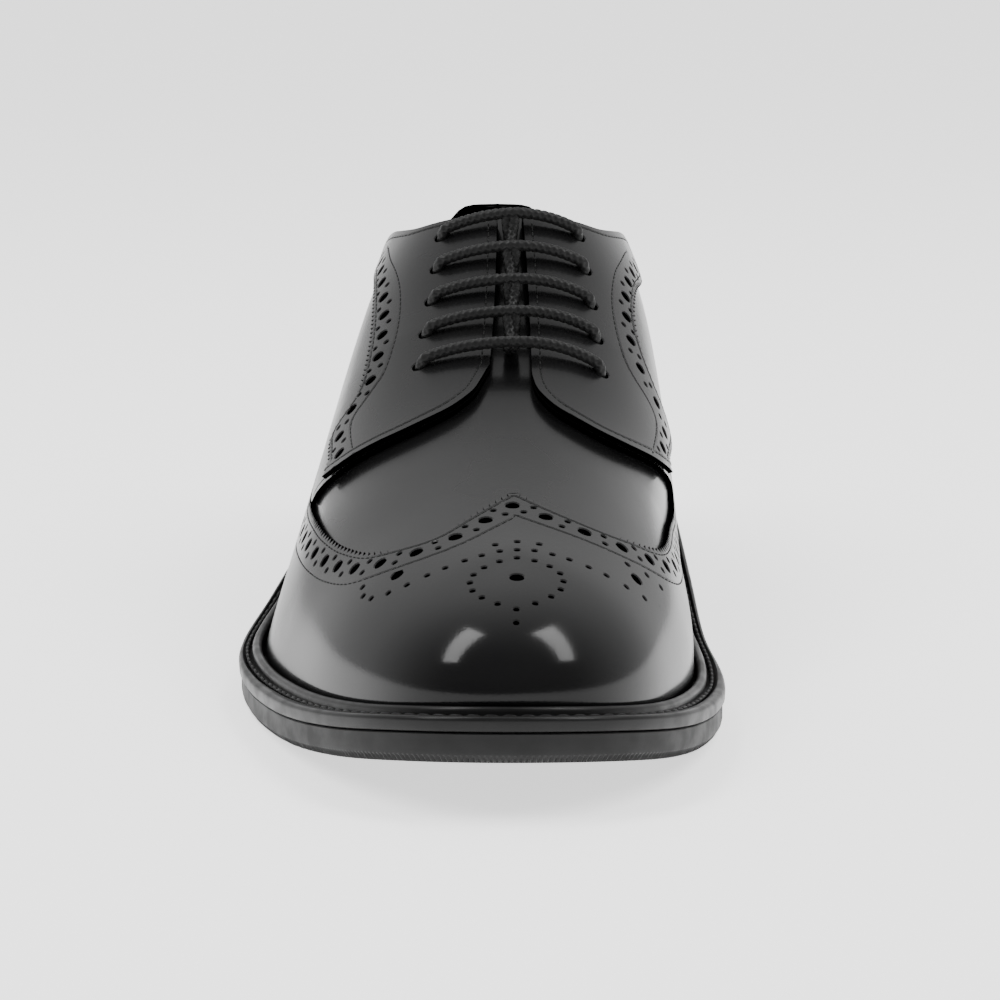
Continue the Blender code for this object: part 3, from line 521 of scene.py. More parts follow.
def skins(name, tops, beds, normals, faces, materials, bed_material=0):
    """Leather piece from its outer and inner skins and the cut edge between them, with no unused points.
    The corner normals come from the form, and the cut edge is smooth along its curves."""
    used = np.unique(faces)
    tops, beds, normals = tops[used], beds[used], normals[used]
    faces = np.searchsorted(used, faces)
    count = len(tops)
    edges = np.array(border_edges(faces))
    lower = np.column_stack([faces[:, 0], faces[:, 2], faces[:, 1]]) + count
    walls = np.column_stack([edges[:, 1], edges[:, 0], edges[:, 0] + count, edges[:, 1] + count])
    points = np.concatenate([tops, beds])
    along = points[walls[:, 0]] - points[walls[:, 1]]
    out = np.cross(along, points[walls[:, 2]] - points[walls[:, 1]])
    out /= np.linalg.norm(out, axis=1, keepdims=True) + 1e-12
    smooth = np.zeros((count, 3))
    for k in (0, 1):
        np.add.at(smooth, edges[:, k], out)
    smooth /= np.maximum(np.linalg.norm(smooth, axis=1, keepdims=True), 1e-9)
    soft = (out * smooth[edges[:, 0]]).sum(1) > SOFT_CORNER
    soft &= (out * smooth[edges[:, 1]]).sum(1) > SOFT_CORNER
    near = np.where(soft[:, None], smooth[edges[:, 1]], out)
    far = np.where(soft[:, None], smooth[edges[:, 0]], out)
    corner = [normals[faces].reshape(-1, 3), -normals[lower - count].reshape(-1, 3)]
    corner.append(np.stack([near, far, far, near], 1).reshape(-1, 3))
    mesh = bpy.data.meshes.new(name)
    mesh.from_pydata(points.tolist(), [], faces.tolist() + lower.tolist() + walls.tolist())
    for material in materials:
        mesh.materials.append(material)
    kinds = np.zeros(len(mesh.polygons), np.int32)
    kinds[len(faces) : 2 * len(faces)] = bed_material
    mesh.polygons.foreach_set("material_index", kinds)
    mesh.shade_smooth()
    mesh.normals_split_custom_set(np.concatenate(corner).tolist())
    return in_scene(name, mesh)


def in_scene(name, data):
    thing = bpy.data.objects.new(name, data)
    pieces.link(thing)
    thing.location = shoe_place
    return thing


def shown(thing, node):
    """Rides the shoe and stands for a CAD node, whose part is hidden."""
    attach(thing, "root")
    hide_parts(node)


def formed(name, points, faces, material, sharp=None):
    """Smooth piece from points and faces. A sharp angle is for a solid with flat ends and hard edges."""
    mesh = bpy.data.meshes.new(name)
    mesh.from_pydata(points.tolist(), [], faces)
    if sharp:
        body = bmesh.new()
        body.from_mesh(mesh)
        bmesh.ops.delete(body, geom=[vert for vert in body.verts if not vert.link_faces], context="VERTS")
        bmesh.ops.triangulate(body, faces=[face for face in body.faces if len(face.verts) > 4])
        bmesh.ops.recalc_face_normals(body, faces=body.faces)
        body.to_mesh(mesh)
        body.free()
    mesh.materials.append(material)
    mesh.shade_smooth()
    if sharp:
        mesh.set_sharp_from_angle(angle=math.radians(sharp))
    return in_scene(name, mesh)


def circuits(count, rows, start=0, other_diagonal=False):
    """Quads between closed rows of the same count of points, each cut on one diagonal or on the other."""
    i = np.arange(count)
    j = (i + 1) % count
    quads = [np.stack([k * count + i, n * count + i, n * count + j, k * count + j], 1) for k, n in rows]
    quads = np.concatenate(quads) + start
    return np.roll(quads, 1, axis=1) if other_diagonal else quads


def sheet_faces(net):
    """Triangles turned outward and joined at toe tip and heel back."""
    stands = welded_ends(net.points)
    return stands[net.triangles][:, ::-1]


def groove(line):
    """The three lines of a groove that a row of stitches is pulled into."""
    return [(beside(line, GROOVE_WIDTH / 2), 0.0, False), (line, GROOVE_DEPTH, False),
            (beside(line, -GROOVE_WIDTH / 2), 0.0, False)]


def hole_lines(centre, radius):
    sides = hole_sides(radius)
    rim = round_loop(centre, radius + HOLE_RIM, sides)
    return [(round_loop(centre, radius, sides), HOLE_DIP, True), (rim, 0.0, True)]


def panel(name, outline, top, bed, materials, holes=(), rows=(), bed_material=0):
    """Panel on the chart with punched holes, and grooves where its rows of stitches run."""
    lines = [(outline, EDGE_DIP, True)]
    for row in rows:
        lines += groove(row)
    punched = [hole_lines(centre, radius) for centre, radius in holes]
    lines += [line for pair in punched for line in pair]
    net = Net(fine_grid(outline, *NET_STEP), lines, CHART_SCALE, NET_CLEARANCE)
    net.keep(outline, [pair[0][0] for pair in punched])
    charts = net.points
    tops = lifted(charts, top) - form_normals(charts) * net.dips[:, None]
    beds = lifted(charts, bed)
    return skins(name, tops, beds, normals_of(charts, top), sheet_faces(net), materials, bed_material)


def hole_sides(radius):
    return BIG_HOLE_SIDES if radius > SMALL_HOLE else SMALL_HOLE_SIDES


def form_normals(charts):
    over = charts[:, 1] > 1
    ring = np.where(over, RING - charts[:, 0], charts[:, 0])
    return form_normal(ring, np.where(over, 2 - charts[:, 1], charts[:, 1]))


# Lines of the pattern on the chart, each a run of (station, rise)
RIDGE_ACROSS = 0.99
THROAT_FRONT = 8.05
QUARTER_TIP = 7.72
EYELET_FRONT = 7.83
WING_EDGE_LATERAL = (
    (5.20, 1.000), (4.88, 0.943), (4.50, 0.858), (4.25, 0.765), (4.38, 0.655), (4.72, 0.555), (5.30, 0.487),
    (5.90, 0.442), (6.60, 0.395), (7.35, 0.335), (8.00, 0.290), (8.70, 0.305), (9.60, 0.308), (11.2, 0.290),
    (13.0, 0.268), (15.0, 0.262),
)
WING_EDGE_MEDIAL = (
    (5.20, 1.000), (4.88, 0.903), (4.72, 0.800), (4.74, 0.690), (4.95, 0.590), (5.22, 0.508), (5.62, 0.440),
    (6.15, 0.396), (6.85, 0.347), (7.55, 0.285), (8.15, 0.250), (8.90, 0.262), (10.0, 0.282), (11.5, 0.284),
    (13.0, 0.268), (15.0, 0.262),
)
QUARTER_FRONT_LATERAL = (
    (7.72, 0.945), (7.50, 0.930), (7.28, 0.908), (7.04, 0.850), (6.90, 0.750), (6.92, 0.650), (7.02, 0.560),
    (7.14, 0.490), (7.32, 0.420), (7.52, 0.340),
)
QUARTER_FRONT_MEDIAL = (
    (7.72, 0.958), (7.50, 0.950), (7.28, 0.928), (7.04, 0.865), (6.92, 0.755), (6.98, 0.660), (7.16, 0.570),
    (7.48, 0.465), (7.80, 0.375), (8.22, 0.262),
)
TOPLINE = (
    (9.82, 0.950), (9.86, 0.895), (9.93, 0.810), (10.06, 0.730), (10.30, 0.668), (10.60, 0.620),
    (11.00, 0.570), (11.50, 0.512), (12.00, 0.472), (12.50, 0.455), (13.00, 0.454), (13.50, 0.468),
    (14.00, 0.490), (14.25, 0.510), (14.42, 0.546), (14.60, 0.560), (15.00, 0.562),
)
FACING_REAR_LATERAL = (
    (7.36, 0.462), (7.62, 0.455), (7.86, 0.448), (7.98, 0.470), (8.01, 0.510), (8.06, 0.550), (8.20, 0.576),
    (8.50, 0.588), (8.90, 0.588), (9.35, 0.573), (9.85, 0.545), (10.4, 0.500), (11.0, 0.446), (11.8, 0.388),
    (12.4, 0.360), (13.0, 0.352), (13.8, 0.375), (15.0, 0.405),
)
FACING_REAR_MEDIAL = (
    (7.88, 0.383), (8.10, 0.368), (8.34, 0.346), (8.50, 0.342), (8.57, 0.378), (8.60, 0.428), (8.65, 0.482),
    (8.80, 0.535), (9.05, 0.568), (9.35, 0.573), (9.75, 0.549), (10.2, 0.497), (10.8, 0.448), (11.5, 0.400),
    (12.2, 0.362), (13.0, 0.352), (13.8, 0.375), (15.0, 0.405),
)
TONGUE_SIDE = (
    (7.35, 0.86), (7.60, 0.80), (8.40, 0.755), (9.30, 0.77), (9.85, 0.82), (10.08, 0.90), (10.16, 1.00),
)

# The net over the chart, punching and pinking
CHART_SCALE = np.array([21.0, 90.0])
PINK_PITCH = 0.0021
PINK_DEPTH = 0.0013
EDGE_DIP = 0.00012
HOLE_DIP = 0.00025
HOLE_RIM = 0.00025
FINE = 0.0022
NET_STEP = (0.125, 0.028)
NET_CLEARANCE = 0.55
SOFT_CORNER = 0.8
BIG_HOLE_SIDES = 14
SMALL_HOLE_SIDES = 10
BIG_HOLE = 0.0016
SMALL_HOLE = 0.0007
HOLE_PITCH = 0.0094
BAND_PAIR = 0.0017
EDGE_STITCH = 0.0019
BAND_MIDDLE = 0.0050
BAND_STITCH = 0.0092
TOE_BORDER = 0.0110
STITCH_FACET = 0.0011
GROOVE_WIDTH = 0.0009
GROOVE_DEPTH = 0.0003

ridge_line = np.array([[station, RIDGE_ACROSS] for station in np.linspace(QUARTER_TIP, 9.86, 60)])
wing_edge = {"lateral": drawn(WING_EDGE_LATERAL), "medial": drawn(WING_EDGE_MEDIAL, medial=True)}


def throat_edge(side):
    """Edge of the quarter along the throat, from the front corner to the topline."""
    share = np.linspace(0, 1, len(ridge_line))
    gap = (THROAT_GAP_FRONT + (THROAT_GAP_TOP - THROAT_GAP_FRONT) * share) / 2
    return evenly(beside(ridge_line, gap if side == "lateral" else -gap), FINE)


def eyelet_centres(side):
    run = lengths_along(ridge_line)
    front = np.interp(EYELET_FRONT, ridge_line[:, 0], run)
    marks = front + EYELET_PITCH * np.arange(EYELET_COUNT)
    share = np.arange(EYELET_COUNT) / (EYELET_COUNT - 1)
    spread = (EYELET_SPREAD_FRONT + (EYELET_SPREAD_TOP - EYELET_SPREAD_FRONT) * share) / 2
    row = np.stack([np.interp(marks, run, ridge_line[:, i]) for i in (0, 1)], -1)
    return beside(row, spread if side == "lateral" else -spread, steps=12)


def topline(side):
    """Topline from the throat corner to the heel back, flat-topped over the backstay."""
    corner = throat_edge(side)[-1]
    rise = 2 - corner[1] if side == "medial" else corner[1]
    return drawn(((corner[0], rise),) + TOPLINE[1:], side == "medial")


def quarter_lines(side):
    """Front edge and foot of a quarter. The foot follows the wing's edge, a joint above it."""
    medial = side == "medial"
    edge = wing_edge[side]
    foot = beside(edge, PANEL_JOINT if medial else -PANEL_JOINT)
    heel = np.array([BACK, WING_EDGE_LATERAL[-1][1]])
    heel[1] += PANEL_JOINT / np.linalg.norm(chart_slopes(heel)[1])
    foot[-1] = mirrored(heel) if medial else heel
    front = drawn(QUARTER_FRONT_MEDIAL if medial else QUARTER_FRONT_LATERAL, medial)
    front[0] = throat_edge(side)[0]
    low = nearest_on(foot, front[-1])
    front[-1] = foot[low]
    return front, foot[low:]


def quarter_outline(side):
    front, foot = quarter_lines(side)
    return loop_of(throat_edge(side), topline(side), foot[::-1], front[::-1])


def facing_outline(side):
    """Facing with the collar band that runs on from it to the heel."""
    medial = side == "medial"
    front, _ = quarter_lines(side)
    rear = drawn(FACING_REAR_MEDIAL if medial else FACING_REAR_LATERAL, medial)
    start = nearest_on(front, rear[0])
    rear[0] = front[start]
    return loop_of(front[: start + 1][::-1], throat_edge(side), topline(side), rear[::-1])


def upper_outline():
    """The whole chart but for the throat and the collar opening."""
    runs = []
    for side in ("lateral", "medial"):
        throat = throat_edge(side)
        runs.append(np.concatenate([throat[throat[:, 0] >= THROAT_FRONT], topline(side)]))
    corners = np.array([[TIP, 0], [TIP, 2], [BACK, 2]], float)
    return loop_of(corners, runs[1][::-1], runs[0], [[BACK, 0.0]])


def tongue_outline():
    side = drawn(TONGUE_SIDE)
    return loop_of(side, mirrored(side)[::-1])


# The front of the wing is meshed over a tilted plane, since the chart's sections meet in a point there
TOE_TILT = math.radians(35)
TOE_UP = np.array([0, -math.sin(TOE_TILT), math.cos(TOE_TILT)])
TOE_BACK = np.array([0, math.cos(TOE_TILT), math.sin(TOE_TILT)])
TOE_SIDE_RISE = 0.36
TOE_STEP = 0.0022
TOE_CLEARANCE = 0.7
FLAT_SCALE = 1000.0
TOE_STATIONS = 7
HEEL_HIDDEN = 0.25

# The medallion, in metres to the side of its centre and back from it
MEDALLION_CENTRE = (0.0074, -0.0722)
MEDALLION_SLANT = 0.075
MEDALLION_RING = (
    (0.0000, 0.0084), (0.0037, 0.0071), (0.0069, 0.0050), (0.0091, 0.0024), (0.0098, -0.0007),
    (0.0092, -0.0041), (0.0072, -0.0073), (0.0039, -0.0102), (0.0000, -0.0124), (0.0000, -0.0168),
)
MEDALLION_FRONT_LEAF = (
    (0.0075, 0.0105), (0.0111, 0.0092), (0.0152, 0.0077), (0.0190, 0.0066), (0.0233, 0.0057),
    (0.0273, 0.0060), (0.0311, 0.0078),
)
MEDALLION_BACK_LEAF = (
    (0.0330, 0.0108), (0.0333, 0.0144), (0.0313, 0.0163), (0.0281, 0.0165), (0.0238, 0.0159),
)
MEDALLION_CROWN = ((0.0000, 0.0159), (0.0047, 0.0149), (0.0000, 0.0120), (0.0037, 0.0117))
MEDALLION_EYES = ((0.0000, 0.0000), (0.0257, 0.0117))


def toe_flat(points):
    """Places on the tilted plane of points of the form."""
    return np.stack([points[..., 0], points @ TOE_BACK], -1)


class ToeForm:
    """The front of the form as a fine mesh that places on the tilted plane are cast onto."""

    def __init__(self):
        rings = np.linspace(-TOE_STATIONS, TOE_STATIONS, 281)
        rises = np.linspace(0, 1, 101)
        ring, rise = np.meshgrid(rings, rises, indexing="ij")
        self.points = form_point(ring, rise).reshape(-1, 3)
        self.normals = form_normal(ring, rise).reshape(-1, 3)
        wide = len(rises)
        first = (np.arange(len(rings) - 1)[:, None] * wide + np.arange(wide - 1)).ravel()
        near = np.column_stack([first, first + wide, first + wide + 1])
        far = np.column_stack([first, first + wide + 1, first + 1])
        self.faces = np.concatenate([near, far])
        self.tree = BVHTree.FromPolygons(self.points.tolist(), self.faces.tolist())

    def at(self, flat):
        """(points, normals) of the form over places on the plane."""
        places, normals = [], []
        for x, back in flat:
            start = Vector((x, *(TOE_BACK * back)[1:])) + Vector(TOE_UP) * 0.2
            place, _, face, _ = self.tree.ray_cast(start, -Vector(TOE_UP))
            corners = self.faces[face]
            shares = np.array(tuple(poly_3d_calc([Vector(self.points[i]) for i in corners], place)))
            places.append(tuple(place))
            normals.append(shares @ self.normals[corners])
        normals = np.array(normals)
        return np.array(places), normals / np.linalg.norm(normals, axis=1, keepdims=True)

    def loop(self, flat, radius, sides):
        """Round loop on the form, as places on the plane."""
        place, normal = (part[0] for part in self.at([flat]))
        one = np.cross(normal, [0, 1, 0])
        one /= np.linalg.norm(one)
        two = np.cross(normal, one)
        turn = 2 * math.pi * np.arange(sides) / sides
        ring = place + (np.cos(turn)[:, None] * one + np.sin(turn)[:, None] * two) * radius
        return toe_flat(ring)


def medallion_holes():
    """Places and radii of the punched pattern on the toe."""
    small = MEDALLION_RING + MEDALLION_FRONT_LEAF + MEDALLION_BACK_LEAF + MEDALLION_CROWN
    holes = []
    for places, radius in ((small, SMALL_HOLE), (MEDALLION_EYES, BIG_HOLE)):
        for x, back in places:
            for side in (1, -1) if x else (1,):
                across = side * x
                flat = (MEDALLION_CENTRE[0] + across, MEDALLION_CENTRE[1] + back + MEDALLION_SLANT * across)
                holes.append((np.array(flat), radius))
    return holes


def to_ridge(line, medial=False):
    """The part of a line on its own side, starting where it crosses the ridge."""
    own = line[:, 1] >= 1 if medial else line[:, 1] <= 1
    first = int(np.argmax(own))
    if first == 0:
        return line
    before, after = line[first - 1], line[first]
    start = before + (after - before) * (1 - before[1]) / (after[1] - before[1])
    return np.concatenate([[start], line[first:]])


def off_heel(line):
    """Leaves out what the backstay hides."""
    return line[line[:, 0] < BACK - HEEL_HIDDEN]


def inward(side):
    return 1 if side == "lateral" else -1


def wing_rows():
    """Rows of stitches on the wing: beside its pinked edge, and on the inner side of the punched band."""
    rows = []
    for distance in (EDGE_STITCH, BAND_STITCH):
        sides = []
        for side in ("lateral", "medial"):
            row = beside(wing_edge[side], inward(side) * distance, steps=12)
            sides.append(off_heel(to_ridge(row, side == "medial")))
        rows.append(evenly(np.concatenate([sides[0][::-1], sides[1][1:]]), STITCH_FACET))
    return rows


def band_holes(line, across, start=0.0, end=0.0):
    """Big holes along a line, and a pair of small ones side by side between each two."""
    run = lengths_along(line)
    count = int((run[-1] - start - end) / HOLE_PITCH)
    holes = []
    for i in range(2 * count + 1):
        mark = start + i * HOLE_PITCH / 2
        spot = np.array([[np.interp(mark + d, run, line[:, k]) for k in (0, 1)] for d in (-0.001, 0, 0.001)])
        if i % 2 == 0:
            holes.append((spot[1], BIG_HOLE))
            continue
        for off in (-across, across):
            holes.append((beside(spot, off, steps=1)[1], SMALL_HOLE))
    return holes


def wing_holes():
    holes = []
    for side in ("lateral", "medial"):
        line = beside(wing_edge[side], inward(side) * BAND_MIDDLE, steps=8)
        line = off_heel(to_ridge(line, side == "medial"))
        found = band_holes(line, BAND_PAIR)
        holes += found[1 if side == "medial" else 0 :]
    return holes


def toe_border():
    """Line on the chart round the part of the wing that is meshed over the plane."""
    runs = []
    for side in ("lateral", "medial"):
        line = to_ridge(beside(wing_edge[side], inward(side) * TOE_BORDER, steps=12), side == "medial")
        if side == "medial":
            line = mirrored(line)
        low = int(np.argmax(line[:, 1] < TOE_SIDE_RISE))
        before, after = line[low - 1], line[low]
        corner = before + (after - before) * (TOE_SIDE_RISE - before[1]) / (after[1] - before[1])
        along = np.column_stack([np.linspace(corner[0], TIP, 60), np.full(60, TOE_SIDE_RISE)])
        upper_run = evenly(np.concatenate([line[:low], [corner]]), TOE_STEP)
        run = np.concatenate([upper_run, evenly(along, TOE_STEP)[1:]])
        runs.append(mirrored(run) if side == "medial" else run)
    return np.concatenate([runs[0][::-1], runs[1][1:]])


def wing_mesh(materials):
    """The wing: a punched net on the chart, and the toe with its medallion on the plane."""
    edges = {side: pinked(wing_edge[side], inward(side)) for side in ("lateral", "medial")}
    corners = np.array([[TIP, 0], [TIP, 2], [BACK, 2]], float)
    outline = loop_of(corners, edges["medial"][::-1], edges["lateral"], [[BACK, 0.0]])
    border = toe_border()
    lines = [(outline, EDGE_DIP, True), (border, 0.0, False)]
    for row in wing_rows():
        lines += groove(row)
    punched = [hole_lines(centre, radius) for centre, radius in wing_holes()]
    lines += [line for pair in punched for line in pair]
    net = Net(fine_grid(outline, *NET_STEP), lines, CHART_SCALE, NET_CLEARANCE)
    net.keep(outline, [pair[0][0] for pair in punched], without=border)
    stands = welded_ends(net.points)
    tops = chart_point(net.points) - form_normals(net.points) * net.dips[:, None]
    beds = lifted(net.points, PANEL_BED)
    normals = normals_of(net.points, PANEL_TOP)
    faces = stands[net.triangles][:, ::-1]

    toe = ToeForm()
    ring = toe_flat(chart_point(border))[:-1]
    low, high = ring.min(0), ring.max(0)
    across = np.arange(low[0], high[0], TOE_STEP)
    back = np.arange(low[1], high[1], TOE_STEP)
    grid = np.stack(np.meshgrid(across, back, indexing="ij"), -1).reshape(-1, 2)
    lines = [(ring, 0.0, True)]
    holes = []
    for flat, radius in medallion_holes():
        sides = hole_sides(radius)
        holes.append(toe.loop(flat, radius, sides))
        lines += [(holes[-1], HOLE_DIP, True), (toe.loop(flat, radius + HOLE_RIM, sides), 0.0, True)]
    cap = Net(grid[in_outline(grid, ring)], lines, FLAT_SCALE, TOE_CLEARANCE)
    cap.keep(ring, holes)
    places, out = toe.at(cap.points)
    number = np.arange(len(cap.points)) + len(tops)
    first = len(outline)
    for i in range(len(ring)):
        number[cap.place_of[cap.first + i]] = stands[net.place_of[net.first + first + i]]
    tops = np.concatenate([tops, places - out * cap.dips[:, None]])
    beds = np.concatenate([beds, places + out * PANEL_BED])
    normals = np.concatenate([normals, out])
    faces = np.concatenate([faces, number[cap.triangles]])
    return skins("wing", tops, beds, normals, faces, materials)


# Stitching, punching and band of the facings
FACING_STITCH = 0.0018
EDGE_ROW = 0.0020
FACING_ROW_ROOM = 0.0014
QUARTER_ROW_ROOM = 0.0012
HOLE_ROOM = 0.0012
BAND_START = 0.0020
STITCH_PITCH = 0.0021
STITCH_LENGTH = 0.0017
STITCH_RADIUS = 0.00021
STITCH_SINK = GROOVE_DEPTH * 0.7
STITCH_SIDES = 6
# A stitch from end to end: place as a share of its length, then thickness and height as shares of its radius
STITCH_FORM = (
    (-0.50, 0.30, -0.90), (-0.40, 0.85, -0.25), (-0.15, 1.00, 0.10),
    (0.15, 1.00, 0.10), (0.40, 0.85, -0.25), (0.50, 0.30, -0.90),
)
BAND_LINE_LATERAL = (
    (7.20, 0.525), (7.50, 0.515), (7.74, 0.515), (7.88, 0.542), (7.95, 0.588), (8.08, 0.622), (8.45, 0.645),
    (8.80, 0.647), (9.15, 0.638), (9.45, 0.618), (9.85, 0.588), (10.4, 0.545), (11.0, 0.492), (11.8, 0.434),
    (12.4, 0.408), (13.0, 0.402), (13.8, 0.423), (15.0, 0.460),
)
BAND_LINE_MEDIAL = (
    (7.40, 0.455), (7.75, 0.445), (8.10, 0.425), (8.30, 0.432), (8.38, 0.470), (8.42, 0.520), (8.50, 0.562),
    (8.72, 0.605), (9.05, 0.625), (9.38, 0.622), (9.78, 0.592), (10.2, 0.545), (10.8, 0.495), (11.5, 0.448),
    (12.2, 0.412), (13.0, 0.402), (13.8, 0.423), (15.0, 0.460),
)
BAND_STITCH_LATERAL = (
    (7.12, 0.578), (7.40, 0.566), (7.62, 0.562), (7.74, 0.575), (7.84, 0.612), (7.95, 0.645), (8.10, 0.675),
    (8.53, 0.700), (8.93, 0.703), (9.28, 0.690), (9.58, 0.665), (9.95, 0.625), (10.4, 0.590),
)
BAND_STITCH_MEDIAL = (
    (7.30, 0.512), (7.62, 0.494), (7.90, 0.482), (8.10, 0.488), (8.18, 0.530), (8.24, 0.595), (8.40, 0.645),
    (8.78, 0.680), (9.15, 0.688), (9.55, 0.668), (9.90, 0.630), (10.3, 0.590),
)


def side_line(side, lateral_table, medial_table):
    """Smooth line of one side from the table that belongs to it."""
    return drawn(medial_table if side == "medial" else lateral_table, side == "medial")


def inside_runs(line, outline, room):
    """Parts of a line that lie within an outline, away from its edge."""
    edge = chart_point(outline)
    kept = in_outline(line, outline)
    kept &= np.array([np.linalg.norm(edge - place, axis=1).min() > room for place in chart_point(line)])
    cuts = np.flatnonzero(np.diff(kept.astype(int))) + 1
    pairs = zip(np.split(line, cuts), np.split(kept, cuts))
    return [run for run, good in pairs if good.all() and len(run) > 3]


def facing_rows(side):
    """Rows of stitches on a facing: along its pinked edge, inside its band, and round its free edges."""
    turn = inward(side)
    front, _ = quarter_lines(side)
    rear = side_line(side, FACING_REAR_LATERAL, FACING_REAR_MEDIAL)
    lines = [
        beside(rear, -turn * FACING_STITCH),
        side_line(side, BAND_STITCH_LATERAL, BAND_STITCH_MEDIAL),
        beside(throat_edge(side), turn * EDGE_ROW),
        beside(front, -turn * EDGE_ROW),
        beside(topline(side), turn * EDGE_ROW),
    ]
    outline = facing_outline(side)
    rows = [off_heel(evenly(line, STITCH_FACET)) for line in lines]
    return [run for row in rows for run in inside_runs(row, outline, FACING_ROW_ROOM)]


def facing_holes(side):
    line = off_heel(side_line(side, BAND_LINE_LATERAL, BAND_LINE_MEDIAL))
    outline = facing_outline(side)
    edge = chart_point(outline)
    found = []
    for centre, radius in band_holes(line, BAND_PAIR, start=BAND_START):
        apart = np.linalg.norm(edge - chart_point(centre), axis=1).min()
        if in_outline(centre[None], outline)[0] and apart > radius + HOLE_ROOM:
            found.append((centre, radius))
    return found


def pinked_facing(side):
    """The facing's outline with its rear edge pinked."""
    front, _ = quarter_lines(side)
    rear = side_line(side, FACING_REAR_LATERAL, FACING_REAR_MEDIAL)
    start = nearest_on(front, rear[0])
    rear[0] = front[start]
    teeth = pinked(rear, -inward(side))[::-1]
    return loop_of(front[: start + 1][::-1], throat_edge(side), topline(side), teeth)


def along_path(at, run, values):
    """Values at places along a path whose points lie at the given lengths."""
    return np.stack([np.interp(at, run, values[:, k]) for k in range(3)], -1)


def thread(name, rows, material):
    """Stitches end to end along rows, each one a short strand that sinks in at its ends.
    A row is its points and the surface's normals there."""
    turn = 2 * math.pi * np.arange(STITCH_SIDES) / STITCH_SIDES
    share, thick, high = (np.array(part) for part in zip(*STITCH_FORM))
    size = STITCH_RADIUS * thick[:, None, None]
    rise = STITCH_RADIUS * high[:, None, None]
    whole = []
    for points, normals in rows:
        run = path_lengths(points)
        marks = np.arange(STITCH_PITCH / 2, run[-1] - STITCH_PITCH / 2, STITCH_PITCH)
        if not len(marks):
            continue
        at = marks[:, None] + share * STITCH_LENGTH
        place = along_path(at, run, points)
        up = along_path(at, run, normals)
        up /= np.linalg.norm(up, axis=-1, keepdims=True)
        along = place[:, -1] - place[:, 0]
        along /= np.linalg.norm(along, axis=-1, keepdims=True)
        across = np.cross(along[:, None], up)
        around = np.cos(turn)[:, None] * across[:, :, None] + np.sin(turn)[:, None] * up[:, :, None]
        ring = place[:, :, None] + up[:, :, None] * rise + size * around
        whole.append(ring.reshape(len(marks), -1, 3))
    verts = np.concatenate(whole)
    deep = len(STITCH_FORM)
    one = circuits(STITCH_SIDES, [(k, k + 1) for k in range(deep - 1)], other_diagonal=True)
    first = np.arange(len(verts))[:, None] * (deep * STITCH_SIDES)
    quads = (first[:, None] + one).reshape(-1, 4)
    start = first + np.arange(STITCH_SIDES)
    end = start[:, ::-1] + (deep - 1) * STITCH_SIDES
    return formed(name, verts.reshape(-1, 3), quads.tolist() + start.tolist() + end.tolist(), material)


def over_chart(line, lift):
    """A row for thread(), lying at a lift over the form."""
    return chart_point(line, np.full(len(line), lift)), form_normals(line)


# Laces: braided cord, its bends in the eyelets and the sag of the strands in the throat
BRAID_STEP = 0.0003
BAR_INSET = 0.045
BAR_SMOOTHING = 9
STRAND_SMOOTHING = 6
LACE_TUCK = 0.0004
LACE_BEND = 0.0006
LACE_SAG = 0.0010
LACE_BRAID = {"sides": 20, "strands": 4, "twist": 3600.0, "relief": 0.13}


def smooth_path(points, step, passes):
    """A path at an even step with its corners rounded."""
    run = path_lengths(points)
    path = along_path(np.linspace(0, run[-1], max(int(run[-1] / step), 4)), run, points)
    for _ in range(passes):
        path[1:-1] = path[1:-1] * 0.5 + (path[:-2] + path[2:]) * 0.25
    return path


def braid(paths, radius, sides, strands, twist, relief):
    """Points and faces of round braided cords along paths."""
    points, faces, base = [], [], 0
    turn = 2 * math.pi * np.arange(sides) / sides
    for path in paths:
        along = np.gradient(path, axis=0)
        along /= np.linalg.norm(along, axis=1, keepdims=True)
        up = np.zeros_like(path)
        guide = np.array([0.0, 0.0, 1.0]) if abs(along[0, 2]) < 0.9 else np.array([0.0, 1.0, 0.0])
        for i, way in enumerate(along):
            guide = guide - way * (guide @ way)
            guide = guide / np.linalg.norm(guide)
            up[i] = guide
        side = np.cross(along, up)
        run = path_lengths(path)[:, None] * twist
        weave = np.maximum(np.cos(strands * turn + run), np.cos(strands * turn - run))
        size = radius * (1 - relief + relief * weave)
        around = np.cos(turn)[:, None] * side[:, None] + np.sin(turn)[:, None] * up[:, None]
        points.append((path[:, None] + size[..., None] * around).reshape(-1, 3))
        last = len(path) - 1
        start = base + np.arange(sides)
        faces += circuits(sides, [(k, k + 1) for k in range(last)], base, other_diagonal=True).tolist()
        faces += [start.tolist(), (start[::-1] + last * sides).tolist()]
        base += len(path) * sides
    return np.concatenate(points), faces


